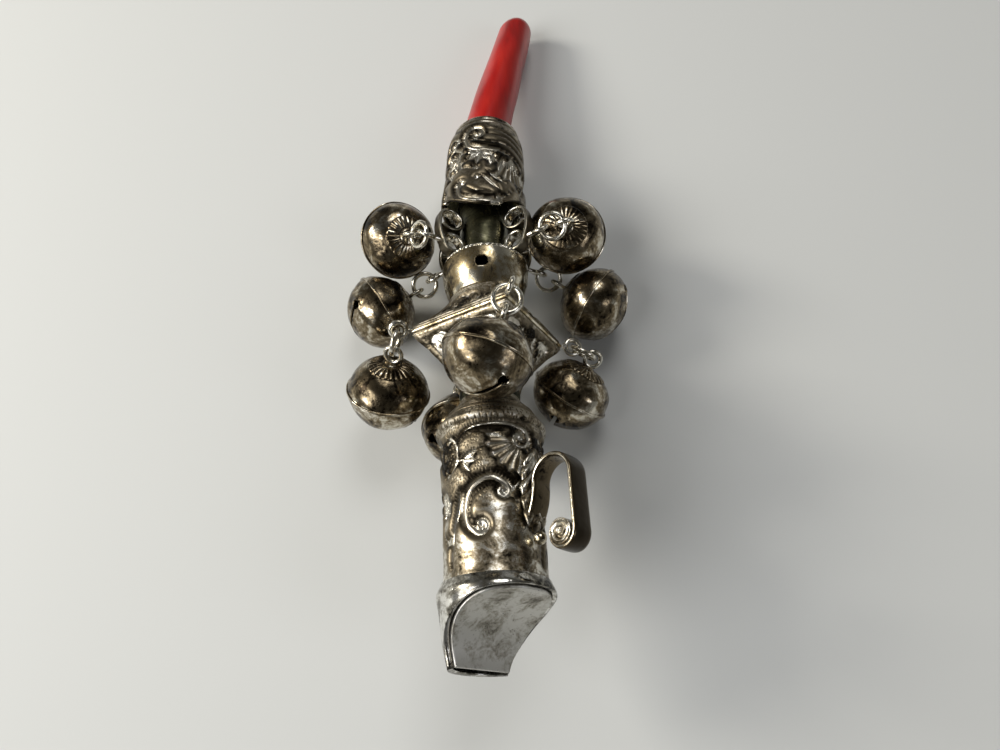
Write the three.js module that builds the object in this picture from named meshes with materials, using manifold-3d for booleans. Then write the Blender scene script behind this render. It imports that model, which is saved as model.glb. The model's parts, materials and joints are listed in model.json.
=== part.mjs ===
// Coral and bells rattle: a silver whistle and stem with a red coral teething stick in its far end,
// four scroll brackets and a square canopy from which eight crotal bells hang on link rings.
// Lengths are in millimetres and angles in degrees. +Z is up, and the rattle lies along Y with its
// coral end towards +Y and its whistle end a little raised on the bell under its waist.
import * as THREE from "three";
import { mergeVertices } from "three/addons/utils/BufferGeometryUtils.js";
import Module from "manifold-3d";

const wasm = await Module();
wasm.setup();

// Gauges and clearances shared by several pieces
const seatGap = 0.3; // solder line between pieces that seat on each other
const sheet = 0.6; // gauge of the raised silver sheet
const cutOverrun = 2; // how far a cutter runs past what it cuts

// Stem: its tilt as it lies, and its pieces, stacked from the mouth lip towards the coral
const stem = { tilt: 8.5, sides: 28 };
const mouthpiece = {
  length: 11.2,
  lipRadius: 6.5,
  beakRadius: 7.6,
  collarRadius: 8.3,
  collarBand: 1.5,
  wall: 1,
  sleeveLength: 2.8,
  lipThickness: 2.6,
  turn: 44,
};
const plate = { gauge: 0.6 };
const block = { length: 3.9, windway: 1.3, base: 10.4 };
const barrel = {
  length: 24,
  radius: 7.85,
  wall: 0.65,
  coveSwell: 0.3,
  coveHeight: 3.4,
  windowWidth: 5,
  windowHeight: 3,
  windowBase: 3.2,
};
const roof = { height: 6.2, ridgeRadius: 8.95, ridgeBand: 1.2, topRadius: 4.6 };
const waist = { height: 1.9, radius: 5.2, bore: 3.4 };
const canopy = {
  cornerRadius: 13.4,
  edgeRadius: 13.8,
  edgeBand: 1.2,
  edgeWidth: 2.2,
  lowerHeight: 9.9,
  upperHeight: 7,
  waistRadius: 4.9,
  throatRadius: 6,
  turn: 15,
  sides: 32,
};
const knop = { height: 6.6, footRadius: 6, rimRadius: 7.9, ventRadius: 1, ventTurn: -4, ventHeight: 3.6 };
const rope = { wireRadius: 0.45, sides: 30, wireSides: 6 };
const neck = { length: 17.2, radius: 4.65, flareRadius: 5.1, flareHeight: 1.1 };
const ferrule = {
  length: 19.8,
  skirtRadius: 8.25,
  skirtHeight: 3.4,
  grooveRadius: 7.5,
  bodyRadius: 7.9,
  topRadius: 6.5,
  lipBand: 0.7,
  lobes: 2,
  lobeDepth: 4.4,
  floorAbove: 0.5,
  lean: 3.5,
  overlap: 1.8,
};
const coral = {
  length: 45.6,
  baseRadius: 5.1,
  tipRadius: 3.8,
  seatDepth: 7.2,
  lean: 10,
  sides: 20,
  rings: 12,
};

// Scroll brackets on the neck, each one strap with a large curl over a small one
const bracket = {
  turns: [58, 122, 238, 302],
  strapWidth: 2.2,
  strapThickness: 0.7,
  largeCurl: 2.25,
  smallCurl: 1.9,
  largeSweep: 320,
  smallSweep: 310,
  largeAbove: 8.9,
  smallAbove: 3.5,
  stemBulge: 0.9,
  eyeAbove: 4,
  eyeReach: 12.3,
};
// Ribbon handle: a strap loop on the barrel that ends in a rolled volute, with a cast leaf under it
const handle = {
  turn: 47,
  strapWidth: 4.5,
  strapThickness: 0.8,
  legFoot: 8.5,
  legLength: 4.4,
  archRadius: 3.45,
  voluteRadius: 3.3,
  voluteEye: 1.1,
  voluteTurns: 1.25,
  voluteAbove: 5.9,
  leafLength: 11.5,
  leafWidth: 5,
  leafThickness: 0.8,
  leafAbove: 7.6,
  ballRadius: 1,
  ballAbove: 5,
};

// Chain: an eye on the stem, a link ring, and the loop of the bell
const eye = { ringRadius: 1.35, wireRadius: 0.45, shank: 0.5 };
const link = { ringRadius: 2.3, wireRadius: 0.45 };
const bell = {
  radius: 7.35,
  flangeRadius: 7.7,
  flangeBand: 0.4,
  wall: 0.55,
  capRadius: 4.1,
  capStep: 0.25,
  buttonRadius: 1.7,
  loopRadius: 1.45,
  loopWireRadius: 0.42,
  loopPlay: 0.15,
  loopAbove: 1.2,
  crownDepth: 6.2,
  bowlDepth: 6.5,
  slitWidth: 1,
  slitHole: 1,
  slitSpan: 50,
  sides: 14,
};
const pellet = { radius: 1.6, sides: 8 };
const ringSides = 11; // straight sides of a small wire ring
const wireSides = 5;

// Where mouldings and curves turn, as shares of the height, radius or gauge that they belong to
const beakShares = { swell: 0.45, bandFoot: 0.25, bandTop: 0.7, bore: 0.6 };
const barrelShares = { cove: 0.25 };
const bandShares = { foot: 0.3, top: 0.7 };
const roofShares = { waist: 0.5, outside: 0.56, inside: 0.5 };
const canopyShares = { steps: [0, 0.16, 0.34, 0.56, 0.78, 1], sweep: 1.25, square: 0.6, wall: 1.3 };
const knopShares = { steps: [0, 0.3, 0.55, 0.78, 1], bulge: 0.8 };
const ferruleShares = {
  neckPlay: 1.5,
  band: 0.6,
  groove: 1.4,
  body: 2,
  shoulder: 0.62,
  throat: 0.8,
  lobe: 0.8,
};
const coralShares = { taper: 1.3, dome: [1 / 3, 2 / 3] };
const bellShares = {
  shoulder: 0.8,
  rim: 0.95,
  seat: 0.998,
  inside: 0.87,
  insideCap: 0.5,
  bowlInside: [0, 1 / 3, 2 / 3],
  bowlOutside: [8 / 9, 2 / 3, 4 / 9, 2 / 9, 0],
};

// Facets of small curves
const facets = {
  cut: 10,
  drill: 12,
  bellHole: 10,
  shank: 8,
  ball: 12,
  largeCurl: 11,
  curlBend: 4,
  smallCurl: 10,
  arch: 10,
  volute: 18,
};

// How each bell lies: its corner or bracket, the twist of its eye, the link's swing, tilt and roll,
// the bell's swing and tilt against the link, and the turn of its slit
const lay = [
  {
    at: "corner", place: 0, eyeTwist: 19.1, linkSwing: 108.1, linkTilt: -8.4, linkRoll: 2.8,
    bellSwing: -4, bellTilt: 7.7, slitTurn: 50,
  },
  {
    at: "corner", place: 1, eyeTwist: -15.2, linkSwing: 21, linkTilt: -7.7, linkRoll: 15.6,
    bellSwing: 89.8, bellTilt: -18.4, slitTurn: 20,
  },
  {
    at: "corner", place: 2, eyeTwist: -13, linkSwing: 87.4, linkTilt: -1.5, linkRoll: 6.8,
    bellSwing: 23.2, bellTilt: 9.1, slitTurn: 172,
  },
  {
    at: "corner", place: 3, eyeTwist: 52.3, linkSwing: 85.3, linkTilt: -0.6, linkRoll: 19.6,
    bellSwing: 1.3, bellTilt: 12.2, slitTurn: 110,
  },
  {
    at: "bracket", place: 0, eyeTwist: 46.2, linkSwing: -13.3, linkTilt: -9, linkRoll: -3.2,
    bellSwing: -97, bellTilt: -15.2, slitTurn: 40,
  },
  {
    at: "bracket", place: 1, eyeTwist: 54.7, linkSwing: 34.5, linkTilt: -15.2, linkRoll: 0.9,
    bellSwing: 7.2, bellTilt: -0.1, slitTurn: 12,
  },
  {
    at: "bracket", place: 2, eyeTwist: -32.4, linkSwing: 37.4, linkTilt: 8.4, linkRoll: 11,
    bellSwing: 8.8, bellTilt: -11.6, slitTurn: 130,
  },
  {
    at: "bracket", place: 3, eyeTwist: -44.4, linkSwing: -74.4, linkTilt: 15, linkRoll: -6.8,
    bellSwing: -16.2, bellTilt: 3.5, slitTurn: 5,
  },
];

// Radii that follow the barrel's bore
const sleeveRadius = barrel.radius - barrel.wall - seatGap;
const blockRadius = sleeveRadius - sheet - seatGap;

// Stations along the stem, from the lip
const barrelBase = mouthpiece.length + seatGap;
const roofBase = barrelBase + barrel.length + seatGap;
const waistBase = roofBase + roof.height + seatGap;
const lowerBase = waistBase + waist.height + seatGap;
const edgeBase = lowerBase + canopy.lowerHeight + seatGap;
const upperBase = edgeBase + canopy.edgeBand + seatGap;
const knopBase = upperBase + canopy.upperHeight + seatGap;
const knopTop = knopBase + knop.height;
const neckBase = knopTop + seatGap;
const ferruleBase = neckBase + neck.length - ferrule.overlap;
const ropeStation = knopTop + seatGap + rope.wireRadius;

// Finishes
const finish = (name, color, roughness, metalness) =>
  Object.assign(new THREE.MeshStandardMaterial({ color, roughness, metalness }), { name });
const wornSilver = finish("worn_silver", 0xb9b2a2, 0.3, 1);
const darkSilver = finish("tarnished_silver", 0x6f6450, 0.38, 1);
const wireSilver = finish("drawn_silver_wire", 0xd8d2c4, 0.25, 1);
const satinSilver = finish("satin_silver", 0xbfbcb4, 0.5, 1);
const redCoral = finish("polished_red_coral", 0xb3200f, 0.18, 0);
const ironShot = finish("iron_shot", 0x4a4038, 0.6, 1);
const blockSilver = finish("silver_block", 0x8a8070, 0.5, 1);

const radians = THREE.MathUtils.degToRad;
const point = (x, y) => new THREE.Vector2(x, y);

// A closed mesh as a solid, and back
function solidOf(geometry, matrix = new THREE.Matrix4()) {
  const bare = geometry.clone().applyMatrix4(matrix);
  bare.deleteAttribute("normal");
  bare.deleteAttribute("uv");
  const merged = mergeVertices(bare, 1e-4);
  return new wasm.Manifold(
    new wasm.Mesh({
      numProp: 3,
      vertProperties: new Float32Array(merged.attributes.position.array),
      triVerts: new Uint32Array(merged.index.array),
    }),
  );
}

function geometryOf(solid) {
  const mesh = solid.getMesh();
  const geometry = new THREE.BufferGeometry();
  geometry.setAttribute("position", new THREE.BufferAttribute(mesh.vertProperties, mesh.numProp));
  geometry.setIndex(new THREE.BufferAttribute(mesh.triVerts, 1));
  geometry.computeVertexNormals();
  return geometry;
}

// A closed outline of [radius, height] pairs, up the outside and down the inside, turned round Y
function turned(outline, sides) {
  const closed = [...outline, outline[0]];
  return new THREE.LatheGeometry(closed.map(([r, y]) => point(r, y)), sides);
}

// A solid turning whose outline starts and ends on the axis
function spun(outline, sides) {
  return new THREE.LatheGeometry(outline.map(([r, y]) => point(r, y)), sides);
}

// Moves every vertex of a geometry by a rule
function reshaped(geometry, rule) {
  const position = geometry.attributes.position;
  const v = new THREE.Vector3();
  for (let i = 0; i < position.count; i++) {
    v.fromBufferAttribute(position, i);
    rule(v);
    position.setXYZ(i, v.x, v.y, v.z);
  }
  return geometry;
}

// Points along an arc about a centre, between two angles in degrees
function arc(centreX, centreY, radius, from, to, steps) {
  return Array.from({ length: steps + 1 }, (_, i) => {
    const angle = radians(from + ((to - from) * i) / steps);
    return point(centreX + radius * Math.cos(angle), centreY + radius * Math.sin(angle));
  });
}

// A flat strap bent along a line of points in the radius and height plane, centred across its width
function strap(line, thickness, width) {
  const side = (sign) =>
    line.map((p, i) => {
      const before = line[Math.max(i - 1, 0)];
      const after = line[Math.min(i + 1, line.length - 1)];
      const along = after.clone().sub(before).normalize();
      return point(p.x - (sign * along.y * thickness) / 2, p.y + (sign * along.x * thickness) / 2);
    });
  const shape = new THREE.Shape([...side(1), ...side(-1).reverse()]);
  const geometry = new THREE.ExtrudeGeometry(shape, { depth: width, bevelEnabled: false });
  return geometry.translate(0, 0, -width / 2);
}

// Turns a geometry drawn by radius and height so that its radius runs along Z and its width along X
const standing = new THREE.Matrix4().makeBasis(
  new THREE.Vector3(0, 0, 1),
  new THREE.Vector3(0, 1, 0),
  new THREE.Vector3(-1, 0, 0),
);

function wireRing(radius, wireRadius, sides = ringSides) {
  return new THREE.TorusGeometry(radius, wireRadius, wireSides, sides);
}

function piece(name, geometry, material) {
  const mesh = new THREE.Mesh(geometry, material);
  mesh.name = name;
  return mesh;
}

// How far out a square of a given half diagonal, its corners at the canopy's turn, is met at an angle
function squareRadius(halfDiagonal, angle) {
  const quarter = Math.PI / 2;
  const past = (((angle - radians(canopy.turn)) % quarter) + quarter) % quarter;
  return (halfDiagonal * Math.SQRT1_2) / Math.cos(past - quarter / 2);
}

// A turning whose sections pass from round to square as squareness(height) goes from 0 to 1
function squared(outline, squareness) {
  const geometry = new THREE.LatheGeometry(
    [...outline, outline[0]].map(([r, y]) => point(r, y)),
    canopy.sides,
    radians(canopy.turn),
  );
  return reshaped(geometry, (v) => {
    const round = Math.hypot(v.x, v.z);
    const angle = Math.atan2(v.x, v.z);
    const k = squareness(v.y);
    const r = round * (1 - k) + squareRadius(round, angle) * k;
    v.x = r * Math.sin(angle);
    v.z = r * Math.cos(angle);
  });
}

// Canopy halves: concave roofs from a round throat to a square rim, with the sheet's gauge inside
function canopyHalf(height, throat) {
  const cornerAt = (share) => throat + (canopy.cornerRadius - throat) * share ** canopyShares.sweep;
  const outside = canopyShares.steps.map((share) => [cornerAt(share), height * share]);
  const wall = sheet * canopyShares.wall;
  const inside = outside.map(([r, y]) => [r - wall, y]).reverse();
  const squareness = (y) => Math.min(1, Math.max(0, y / height)) ** canopyShares.square;
  return squared([...outside, ...inside], squareness);
}

// Mouthpiece: a turned beak with a concave quarter cut away, ending in a thin flat lip
const beakTop = mouthpiece.length - mouthpiece.collarBand;
const beakOutside = [
  [mouthpiece.lipRadius, 0],
  [mouthpiece.beakRadius, beakTop * beakShares.swell],
  [mouthpiece.beakRadius, beakTop],
  [mouthpiece.collarRadius, beakTop + mouthpiece.collarBand * beakShares.bandFoot],
  [mouthpiece.collarRadius, beakTop + mouthpiece.collarBand * beakShares.bandTop],
  [barrel.radius, mouthpiece.length],
];
const beakInside = [
  [sleeveRadius - sheet, mouthpiece.length],
  [mouthpiece.beakRadius - mouthpiece.wall - sheet, beakTop * beakShares.bore],
  [mouthpiece.lipRadius - mouthpiece.wall, 0],
];

// The cutter's edge is a quarter ellipse from the flat of the lip to the collar
function beakCutter(offset) {
  const lipFlat = mouthpiece.lipThickness - mouthpiece.lipRadius + offset;
  const reach = mouthpiece.collarRadius - lipFlat;
  const rise = beakTop - offset;
  const far = mouthpiece.collarRadius + cutOverrun;
  const edge = Array.from({ length: facets.cut + 1 }, (_, i) => {
    const angle = (Math.PI / 2) * (i / facets.cut);
    return point(mouthpiece.collarRadius - reach * Math.cos(angle), rise * Math.sin(angle));
  });
  const shape = new THREE.Shape([
    point(lipFlat, -cutOverrun),
    ...edge,
    point(far, rise),
    point(far, -cutOverrun),
  ]);
  const width = 2 * (mouthpiece.collarRadius + cutOverrun);
  const geometry = new THREE.ExtrudeGeometry(shape, { depth: width, bevelEnabled: false });
  return solidOf(geometry.translate(0, 0, -width / 2), standing);
}

function mouthpieceShell() {
  const sleeveTop = mouthpiece.length + mouthpiece.sleeveLength;
  const outline = [
    ...beakOutside,
    [sleeveRadius, mouthpiece.length],
    [sleeveRadius, sleeveTop],
    [sleeveRadius - sheet, sleeveTop],
    ...beakInside,
  ];
  return geometryOf(solidOf(turned(outline, stem.sides)).subtract(beakCutter(0)));
}

function beakPlate() {
  const full = spun([[0, 0], ...beakOutside.slice(0, 4), [0, beakOutside[3][1]]], stem.sides);
  const sheetBand = beakCutter(seatGap).subtract(beakCutter(seatGap + plate.gauge));
  return geometryOf(solidOf(full).intersect(sheetBand));
}

function fippleBlock() {
  const outline = [[0, 0], [blockRadius, 0], [blockRadius, block.length], [0, block.length]];
  const round = spun(outline, stem.sides);
  const cut = new THREE.BoxGeometry(2 * blockRadius, block.length + cutOverrun, block.windway);
  cut.translate(0, block.length / 2, -blockRadius + block.windway / 2);
  return geometryOf(solidOf(round).subtract(solidOf(cut)));
}

function barrelShell() {
  const r = barrel.radius;
  const outline = [
    [r, 0],
    [r + barrel.coveSwell, barrel.coveHeight * barrelShares.cove],
    [r, barrel.coveHeight],
    [r, barrel.length],
    [sleeveRadius + seatGap, barrel.length],
    [sleeveRadius + seatGap, 0],
  ];
  const window = new THREE.BoxGeometry(barrel.windowWidth, barrel.windowHeight, r);
  window.translate(0, barrel.windowBase + barrel.windowHeight / 2, -r);
  const turn = new THREE.Matrix4().makeRotationY(radians(mouthpiece.turn));
  return geometryOf(solidOf(turned(outline, stem.sides)).subtract(solidOf(window, turn)));
}

function roofShell() {
  const { ridgeRadius, ridgeBand, topRadius, height } = roof;
  const middle = topRadius + (ridgeRadius - topRadius) * roofShares.waist;
  return turned(
    [
      [ridgeRadius - sheet, 0],
      [ridgeRadius, ridgeBand * bandShares.foot],
      [ridgeRadius, ridgeBand * bandShares.top],
      [ridgeRadius - sheet, ridgeBand],
      [middle, height * roofShares.outside],
      [topRadius, height],
      [topRadius - sheet, height],
      [middle - sheet, height * roofShares.inside],
      [sleeveRadius, 0],
    ],
    stem.sides,
  );
}

function waistRing() {
  const { radius, height, bore } = waist;
  return turned(
    [
      [radius - sheet, 0],
      [radius, height * bandShares.foot],
      [radius, height * bandShares.top],
      [radius - sheet, height],
      [bore, height],
      [bore, 0],
    ],
    stem.sides,
  );
}

function canopyEdge() {
  const { edgeRadius, edgeWidth, edgeBand } = canopy;
  return squared(
    [
      [edgeRadius - edgeWidth, 0],
      [edgeRadius - sheet / 2, 0],
      [edgeRadius, edgeBand / 2],
      [edgeRadius - sheet / 2, edgeBand],
      [edgeRadius - edgeWidth, edgeBand],
    ],
    () => 1,
  );
}

function knopShell() {
  const { height, footRadius, rimRadius, ventRadius, ventTurn, ventHeight } = knop;
  const swell = (share) => Math.sin((Math.PI / 2) * share) ** knopShares.bulge;
  const bulge = (share) => footRadius + (rimRadius - footRadius) * swell(share);
  const outline = [
    ...knopShares.steps.map((share) => [bulge(share), height * share]),
    [neck.radius - sheet, height],
    [neck.radius - sheet, height - sheet],
    [bulge(1) - sheet, height - sheet],
    ...knopShares.steps.slice(0, -1).reverse().map((share) => [bulge(share) - sheet, height * share]),
  ];
  const vent = new THREE.CylinderGeometry(ventRadius, ventRadius, rimRadius, facets.drill);
  vent.rotateX(Math.PI / 2).translate(0, ventHeight, rimRadius);
  const turn = new THREE.Matrix4().makeRotationY(radians(ventTurn));
  return geometryOf(solidOf(turned(outline, stem.sides)).subtract(solidOf(vent, turn)));
}

function neckTube() {
  const { length, radius, flareRadius, flareHeight } = neck;
  const visible = length - ferrule.overlap;
  return turned(
    [
      [flareRadius, 0],
      [radius, flareHeight],
      [radius, visible - flareHeight],
      [radius, length],
      [radius - sheet, length],
      [radius - sheet, 0],
    ],
    stem.sides,
  );
}

function ferruleShell() {
  const { length, skirtRadius, skirtHeight, grooveRadius, bodyRadius, topRadius, lipBand } = ferrule;
  const neckHole = neck.radius + ferruleShares.neckPlay * seatGap;
  const coralBore = coral.baseRadius + seatGap;
  const floor = ferrule.floorAbove + sheet;
  const seat = length - coral.seatDepth - sheet;
  const geometry = turned(
    [
      [neckHole, floor],
      [skirtRadius - sheet, floor],
      [skirtRadius - sheet, 0],
      [skirtRadius, 0],
      [skirtRadius, skirtHeight * ferruleShares.band],
      [skirtRadius - sheet / 2, skirtHeight],
      [grooveRadius, skirtHeight * ferruleShares.groove],
      [bodyRadius, skirtHeight * ferruleShares.body],
      [bodyRadius, length * ferruleShares.shoulder],
      [bodyRadius - sheet, length * ferruleShares.throat],
      [topRadius, length - 2 * lipBand],
      [topRadius, length],
      [coralBore, length],
      [coralBore, seat],
      [grooveRadius - sheet, seat - sheet],
      [grooveRadius - sheet, floor + 2 * sheet],
      [neckHole, floor + sheet],
    ],
    stem.sides + 2,
  );
  return reshaped(geometry, (v) => {
    const lobe = Math.max(0, Math.cos(ferrule.lobes * Math.atan2(v.x, v.z)));
    if (v.y < floor / 2) v.y -= ferrule.lobeDepth * lobe ** ferruleShares.lobe;
  });
}

// Coral: a tapering branch with a domed tip, straight in its socket and leaning past the ferrule
function coralStick() {
  const { length, baseRadius, tipRadius, rings, sides, seatDepth, lean } = coral;
  const radiusAt = (share) => baseRadius + (tipRadius - baseRadius) * share ** coralShares.taper;
  const straight = length - tipRadius;
  const shaft = Array.from({ length: rings + 1 }, (_, i) => [radiusAt(i / rings), (straight * i) / rings]);
  const dome = coralShares.dome.map((share) => {
    const angle = (Math.PI / 2) * share;
    return [tipRadius * Math.cos(angle), straight + tipRadius * Math.sin(angle)];
  });
  const geometry = spun([[0, 0], ...shaft, ...dome, [0, length]], sides);
  return reshaped(geometry, (v) => {
    const past = Math.max(0, v.y - seatDepth);
    v.x += past * Math.tan(radians(lean)) * (past / (past + tipRadius));
  });
}

// Bracket strap: a large curl over a small one, joined by a stem that bulges outwards
function bracketLine() {
  const back = neck.radius + seatGap + bracket.strapThickness / 2;
  const large = { x: back + bracket.largeCurl, y: bracket.largeAbove, r: bracket.largeCurl };
  const small = { x: back + bracket.smallCurl, y: bracket.smallAbove, r: bracket.smallCurl };
  const top = point(large.x + large.r, large.y);
  const foot = point(small.x + small.r, small.y);
  const middle = top.clone().add(foot).divideScalar(2).add(point(bracket.stemBulge, 0));
  const bend = new THREE.QuadraticBezierCurve(top, middle, foot);
  return [
    ...arc(large.x, large.y, large.r, bracket.largeSweep, 0, facets.largeCurl),
    ...bend.getPoints(facets.curlBend).slice(1, -1),
    ...arc(small.x, small.y, small.r, 0, -bracket.smallSweep, facets.smallCurl),
  ];
}

function eyeRing(shankReach) {
  const ring = wireRing(eye.ringRadius, eye.wireRadius).rotateY(Math.PI / 2);
  const shank = new THREE.CylinderGeometry(eye.wireRadius, eye.wireRadius, shankReach, facets.shank);
  shank.translate(0, -eye.ringRadius - shankReach / 2, 0);
  return solidOf(ring).add(solidOf(shank));
}

// The frame of an eye: X along the hole, Y outwards, Z towards the whistle
function eyeFrame(station, reach, twist) {
  const group = new THREE.Group();
  group.position.set(0, station, reach);
  group.rotation.set(radians(90), radians(-twist), 0);
  return group;
}

function bracketGeometry(twist) {
  const body = solidOf(strap(bracketLine(), bracket.strapThickness, bracket.strapWidth), standing);
  const frame = eyeFrame(bracket.eyeAbove, bracket.eyeReach, twist);
  frame.updateMatrix();
  const ring = geometryOf(eyeRing(eye.shank + eye.ringRadius));
  return geometryOf(body.add(solidOf(ring, frame.matrix)));
}

// Handle strap: up the barrel, over an arch, down and round into a volute
function handleLine() {
  const legReach = barrel.radius + 3 * seatGap + handle.leafThickness + handle.strapThickness / 2;
  const archCentre = legReach + handle.archRadius;
  const archFoot = handle.legFoot + handle.legLength;
  const voluteReach = archCentre + handle.archRadius - handle.voluteRadius;
  const volute = Array.from({ length: facets.volute + 1 }, (_, i) => {
    const share = i / facets.volute;
    const angle = -2 * Math.PI * handle.voluteTurns * share;
    const r = handle.voluteRadius + (handle.voluteEye - handle.voluteRadius) * share;
    return point(voluteReach + r * Math.cos(angle), handle.voluteAbove + r * Math.sin(angle));
  });
  return [
    point(legReach, handle.legFoot),
    ...arc(archCentre, archFoot, handle.archRadius, 180, 0, facets.arch),
    ...volute,
  ];
}

// Acanthus leaf: a lobed outline bent round the barrel
function leafGeometry() {
  const { leafLength, leafWidth, leafThickness } = handle;
  const outlineShares = [
    [0, 0],
    [0.3, 0.04],
    [0.22, 0.12],
    [0.42, 0.2],
    [0.32, 0.3],
    [0.5, 0.4],
    [0.38, 0.5],
    [0.46, 0.62],
    [0.3, 0.72],
    [0.3, 0.82],
    [0.12, 0.92],
    [0, 1],
  ];
  const right = outlineShares.map(([x, y]) => point(x * leafWidth, y * leafLength));
  const left = right.slice(1, -1).reverse().map((p) => point(-p.x, p.y));
  const shape = new THREE.Shape([...right, ...left]);
  const geometry = new THREE.ExtrudeGeometry(shape, { depth: leafThickness, bevelEnabled: false });
  const seat = barrel.radius + 2 * seatGap;
  return reshaped(geometry, (v) => {
    const angle = v.x / barrel.radius;
    const r = seat + v.z;
    v.x = r * Math.sin(angle);
    v.z = r * Math.cos(angle);
  });
}

// Bell halves, each a little flatter than half a ball, drawn about the bell's centre with the loop
// towards -Y and the slit towards +Y
const loopHeight = (bell.crownDepth * (bell.radius + 2 * bell.capStep)) / bell.radius + bell.loopAbove;
function crownGeometry() {
  const { radius, flangeRadius, flangeBand, wall, capRadius, capStep, buttonRadius } = bell;
  const flatness = bell.crownDepth / radius;
  const on = (r, x) => flatness * Math.sqrt(r * r - x * x);
  const inner = radius - wall;
  const half = seatGap / 2;
  const outer = spun(
    [
      [0, -on(radius + 2 * capStep, 0)],
      [buttonRadius, -on(radius + 2 * capStep, buttonRadius)],
      [buttonRadius, -on(radius + capStep, buttonRadius)],
      [(buttonRadius + capRadius) / 2, -on(radius + capStep, (buttonRadius + capRadius) / 2)],
      [capRadius, -on(radius + capStep, capRadius)],
      [capRadius, -on(radius, capRadius)],
      [radius * bellShares.shoulder, -on(radius, radius * bellShares.shoulder)],
      [radius * bellShares.rim, -on(radius, radius * bellShares.rim)],
      [flangeRadius, -half - flangeBand],
      [flangeRadius, -half],
      [inner * bellShares.seat, -half],
      [inner * bellShares.inside, -on(inner, inner * bellShares.inside)],
      [inner * bellShares.insideCap, -on(inner, inner * bellShares.insideCap)],
      [0, -on(inner, 0)],
    ],
    bell.sides,
  );
  const loop = wireRing(bell.loopRadius, bell.loopWireRadius).rotateY(Math.PI / 2);
  loop.translate(0, -loopHeight, 0);
  return geometryOf(solidOf(outer).add(solidOf(loop)));
}

function bowlGeometry() {
  const { radius, flangeRadius, flangeBand, wall, slitWidth, slitHole, slitSpan } = bell;
  const inner = radius - wall;
  const half = seatGap / 2;
  const flatness = bell.bowlDepth / radius;
  const at = (r, share) => {
    const angle = (Math.PI / 2) * share;
    return [r * Math.sin(angle), flatness * r * Math.cos(angle)];
  };
  const [insideSteps, outsideSteps] = [bellShares.bowlInside, bellShares.bowlOutside];
  const shell = spun(
    [
      ...insideSteps.map((share) => at(inner, share)),
      [inner * bellShares.seat, half],
      [flangeRadius, half],
      [flangeRadius, half + flangeBand],
      ...outsideSteps.map((share) => at(radius, share)),
    ],
    bell.sides,
  );
  const [holeReach, holeHeight] = at(radius, slitSpan / 90);
  const lean = Math.atan2(flatness * holeReach, holeHeight / flatness);
  const slit = new THREE.BoxGeometry(2 * radius, radius, slitWidth);
  slit.translate(0, holeHeight + radius / 2, 0);
  let cut = solidOf(slit);
  for (const sign of [-1, 1]) {
    const hole = new THREE.CylinderGeometry(slitHole, slitHole, radius / 2, facets.bellHole);
    hole.rotateZ(sign * lean).translate(-sign * holeReach, holeHeight, 0);
    cut = cut.add(solidOf(hole));
  }
  return geometryOf(solidOf(shell).subtract(cut));
}

const rattle = new THREE.Group();
rattle.name = "coral_and_bells_rattle";
const body = new THREE.Group();
body.rotation.x = radians(-stem.tilt);
rattle.add(body);

function addAt(station, mesh, turn = 0) {
  const group = new THREE.Group();
  group.position.y = station;
  group.rotation.y = radians(turn);
  group.add(mesh);
  body.add(group);
  return group;
}

addAt(0, piece("whistle_mouthpiece", mouthpieceShell(), wornSilver), mouthpiece.turn);
addAt(0, piece("beak_plate", beakPlate(), satinSilver), mouthpiece.turn);
addAt(block.base, piece("fipple_block", fippleBlock(), blockSilver), mouthpiece.turn);
addAt(barrelBase, piece("whistle_barrel", barrelShell(), wornSilver));
addAt(roofBase, piece("whistle_roof", roofShell(), wornSilver));
addAt(waistBase, piece("waist_collar", waistRing(), darkSilver));
const lower = canopyHalf(canopy.lowerHeight, canopy.waistRadius);
addAt(lowerBase, piece("canopy_lower", lower, wornSilver));
addAt(edgeBase, piece("canopy_edge", canopyEdge(), wornSilver));
const upper = piece("canopy_upper", canopyHalf(canopy.upperHeight, canopy.throatRadius), wornSilver);
upper.rotation.z = Math.PI;
upper.rotation.y = radians(2 * canopy.turn);
addAt(upperBase + canopy.upperHeight, upper);
addAt(knopBase, piece("vented_knop", knopShell(), wornSilver));
const ropeGeometry = new THREE.TorusGeometry(knop.rimRadius, rope.wireRadius, rope.wireSides, rope.sides);
addAt(ropeStation, piece("rope_rim", ropeGeometry.rotateX(Math.PI / 2), wornSilver));
addAt(neckBase, piece("neck_tube", neckTube(), darkSilver));

const socket = addAt(ferruleBase, piece("coral_ferrule", ferruleShell(), wornSilver));
socket.rotation.z = radians(-ferrule.lean);
const stick = piece("coral_stick", coralStick(), redCoral);
stick.position.y = ferrule.length - coral.seatDepth;
socket.add(stick);

bracket.turns.forEach((turn, i) => {
  const twist = lay.find((l) => l.at === "bracket" && l.place === i).eyeTwist;
  addAt(neckBase, piece(`bell_bracket_${i + 1}`, bracketGeometry(twist), wornSilver), turn);
});

const handleStrap = solidOf(strap(handleLine(), handle.strapThickness, handle.strapWidth), standing);
addAt(barrelBase, piece("ribbon_handle", geometryOf(handleStrap), wornSilver), handle.turn);
addAt(barrelBase + handle.leafAbove, piece("handle_leaf", leafGeometry(), wornSilver), handle.turn);
const ballGeometry = new THREE.SphereGeometry(handle.ballRadius, facets.ball, facets.ball / 2);
const ball = piece("handle_ball", ballGeometry, wornSilver);
ball.position.z = barrel.radius + seatGap + handle.ballRadius;
addAt(barrelBase + handle.ballAbove, ball, handle.turn);

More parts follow.
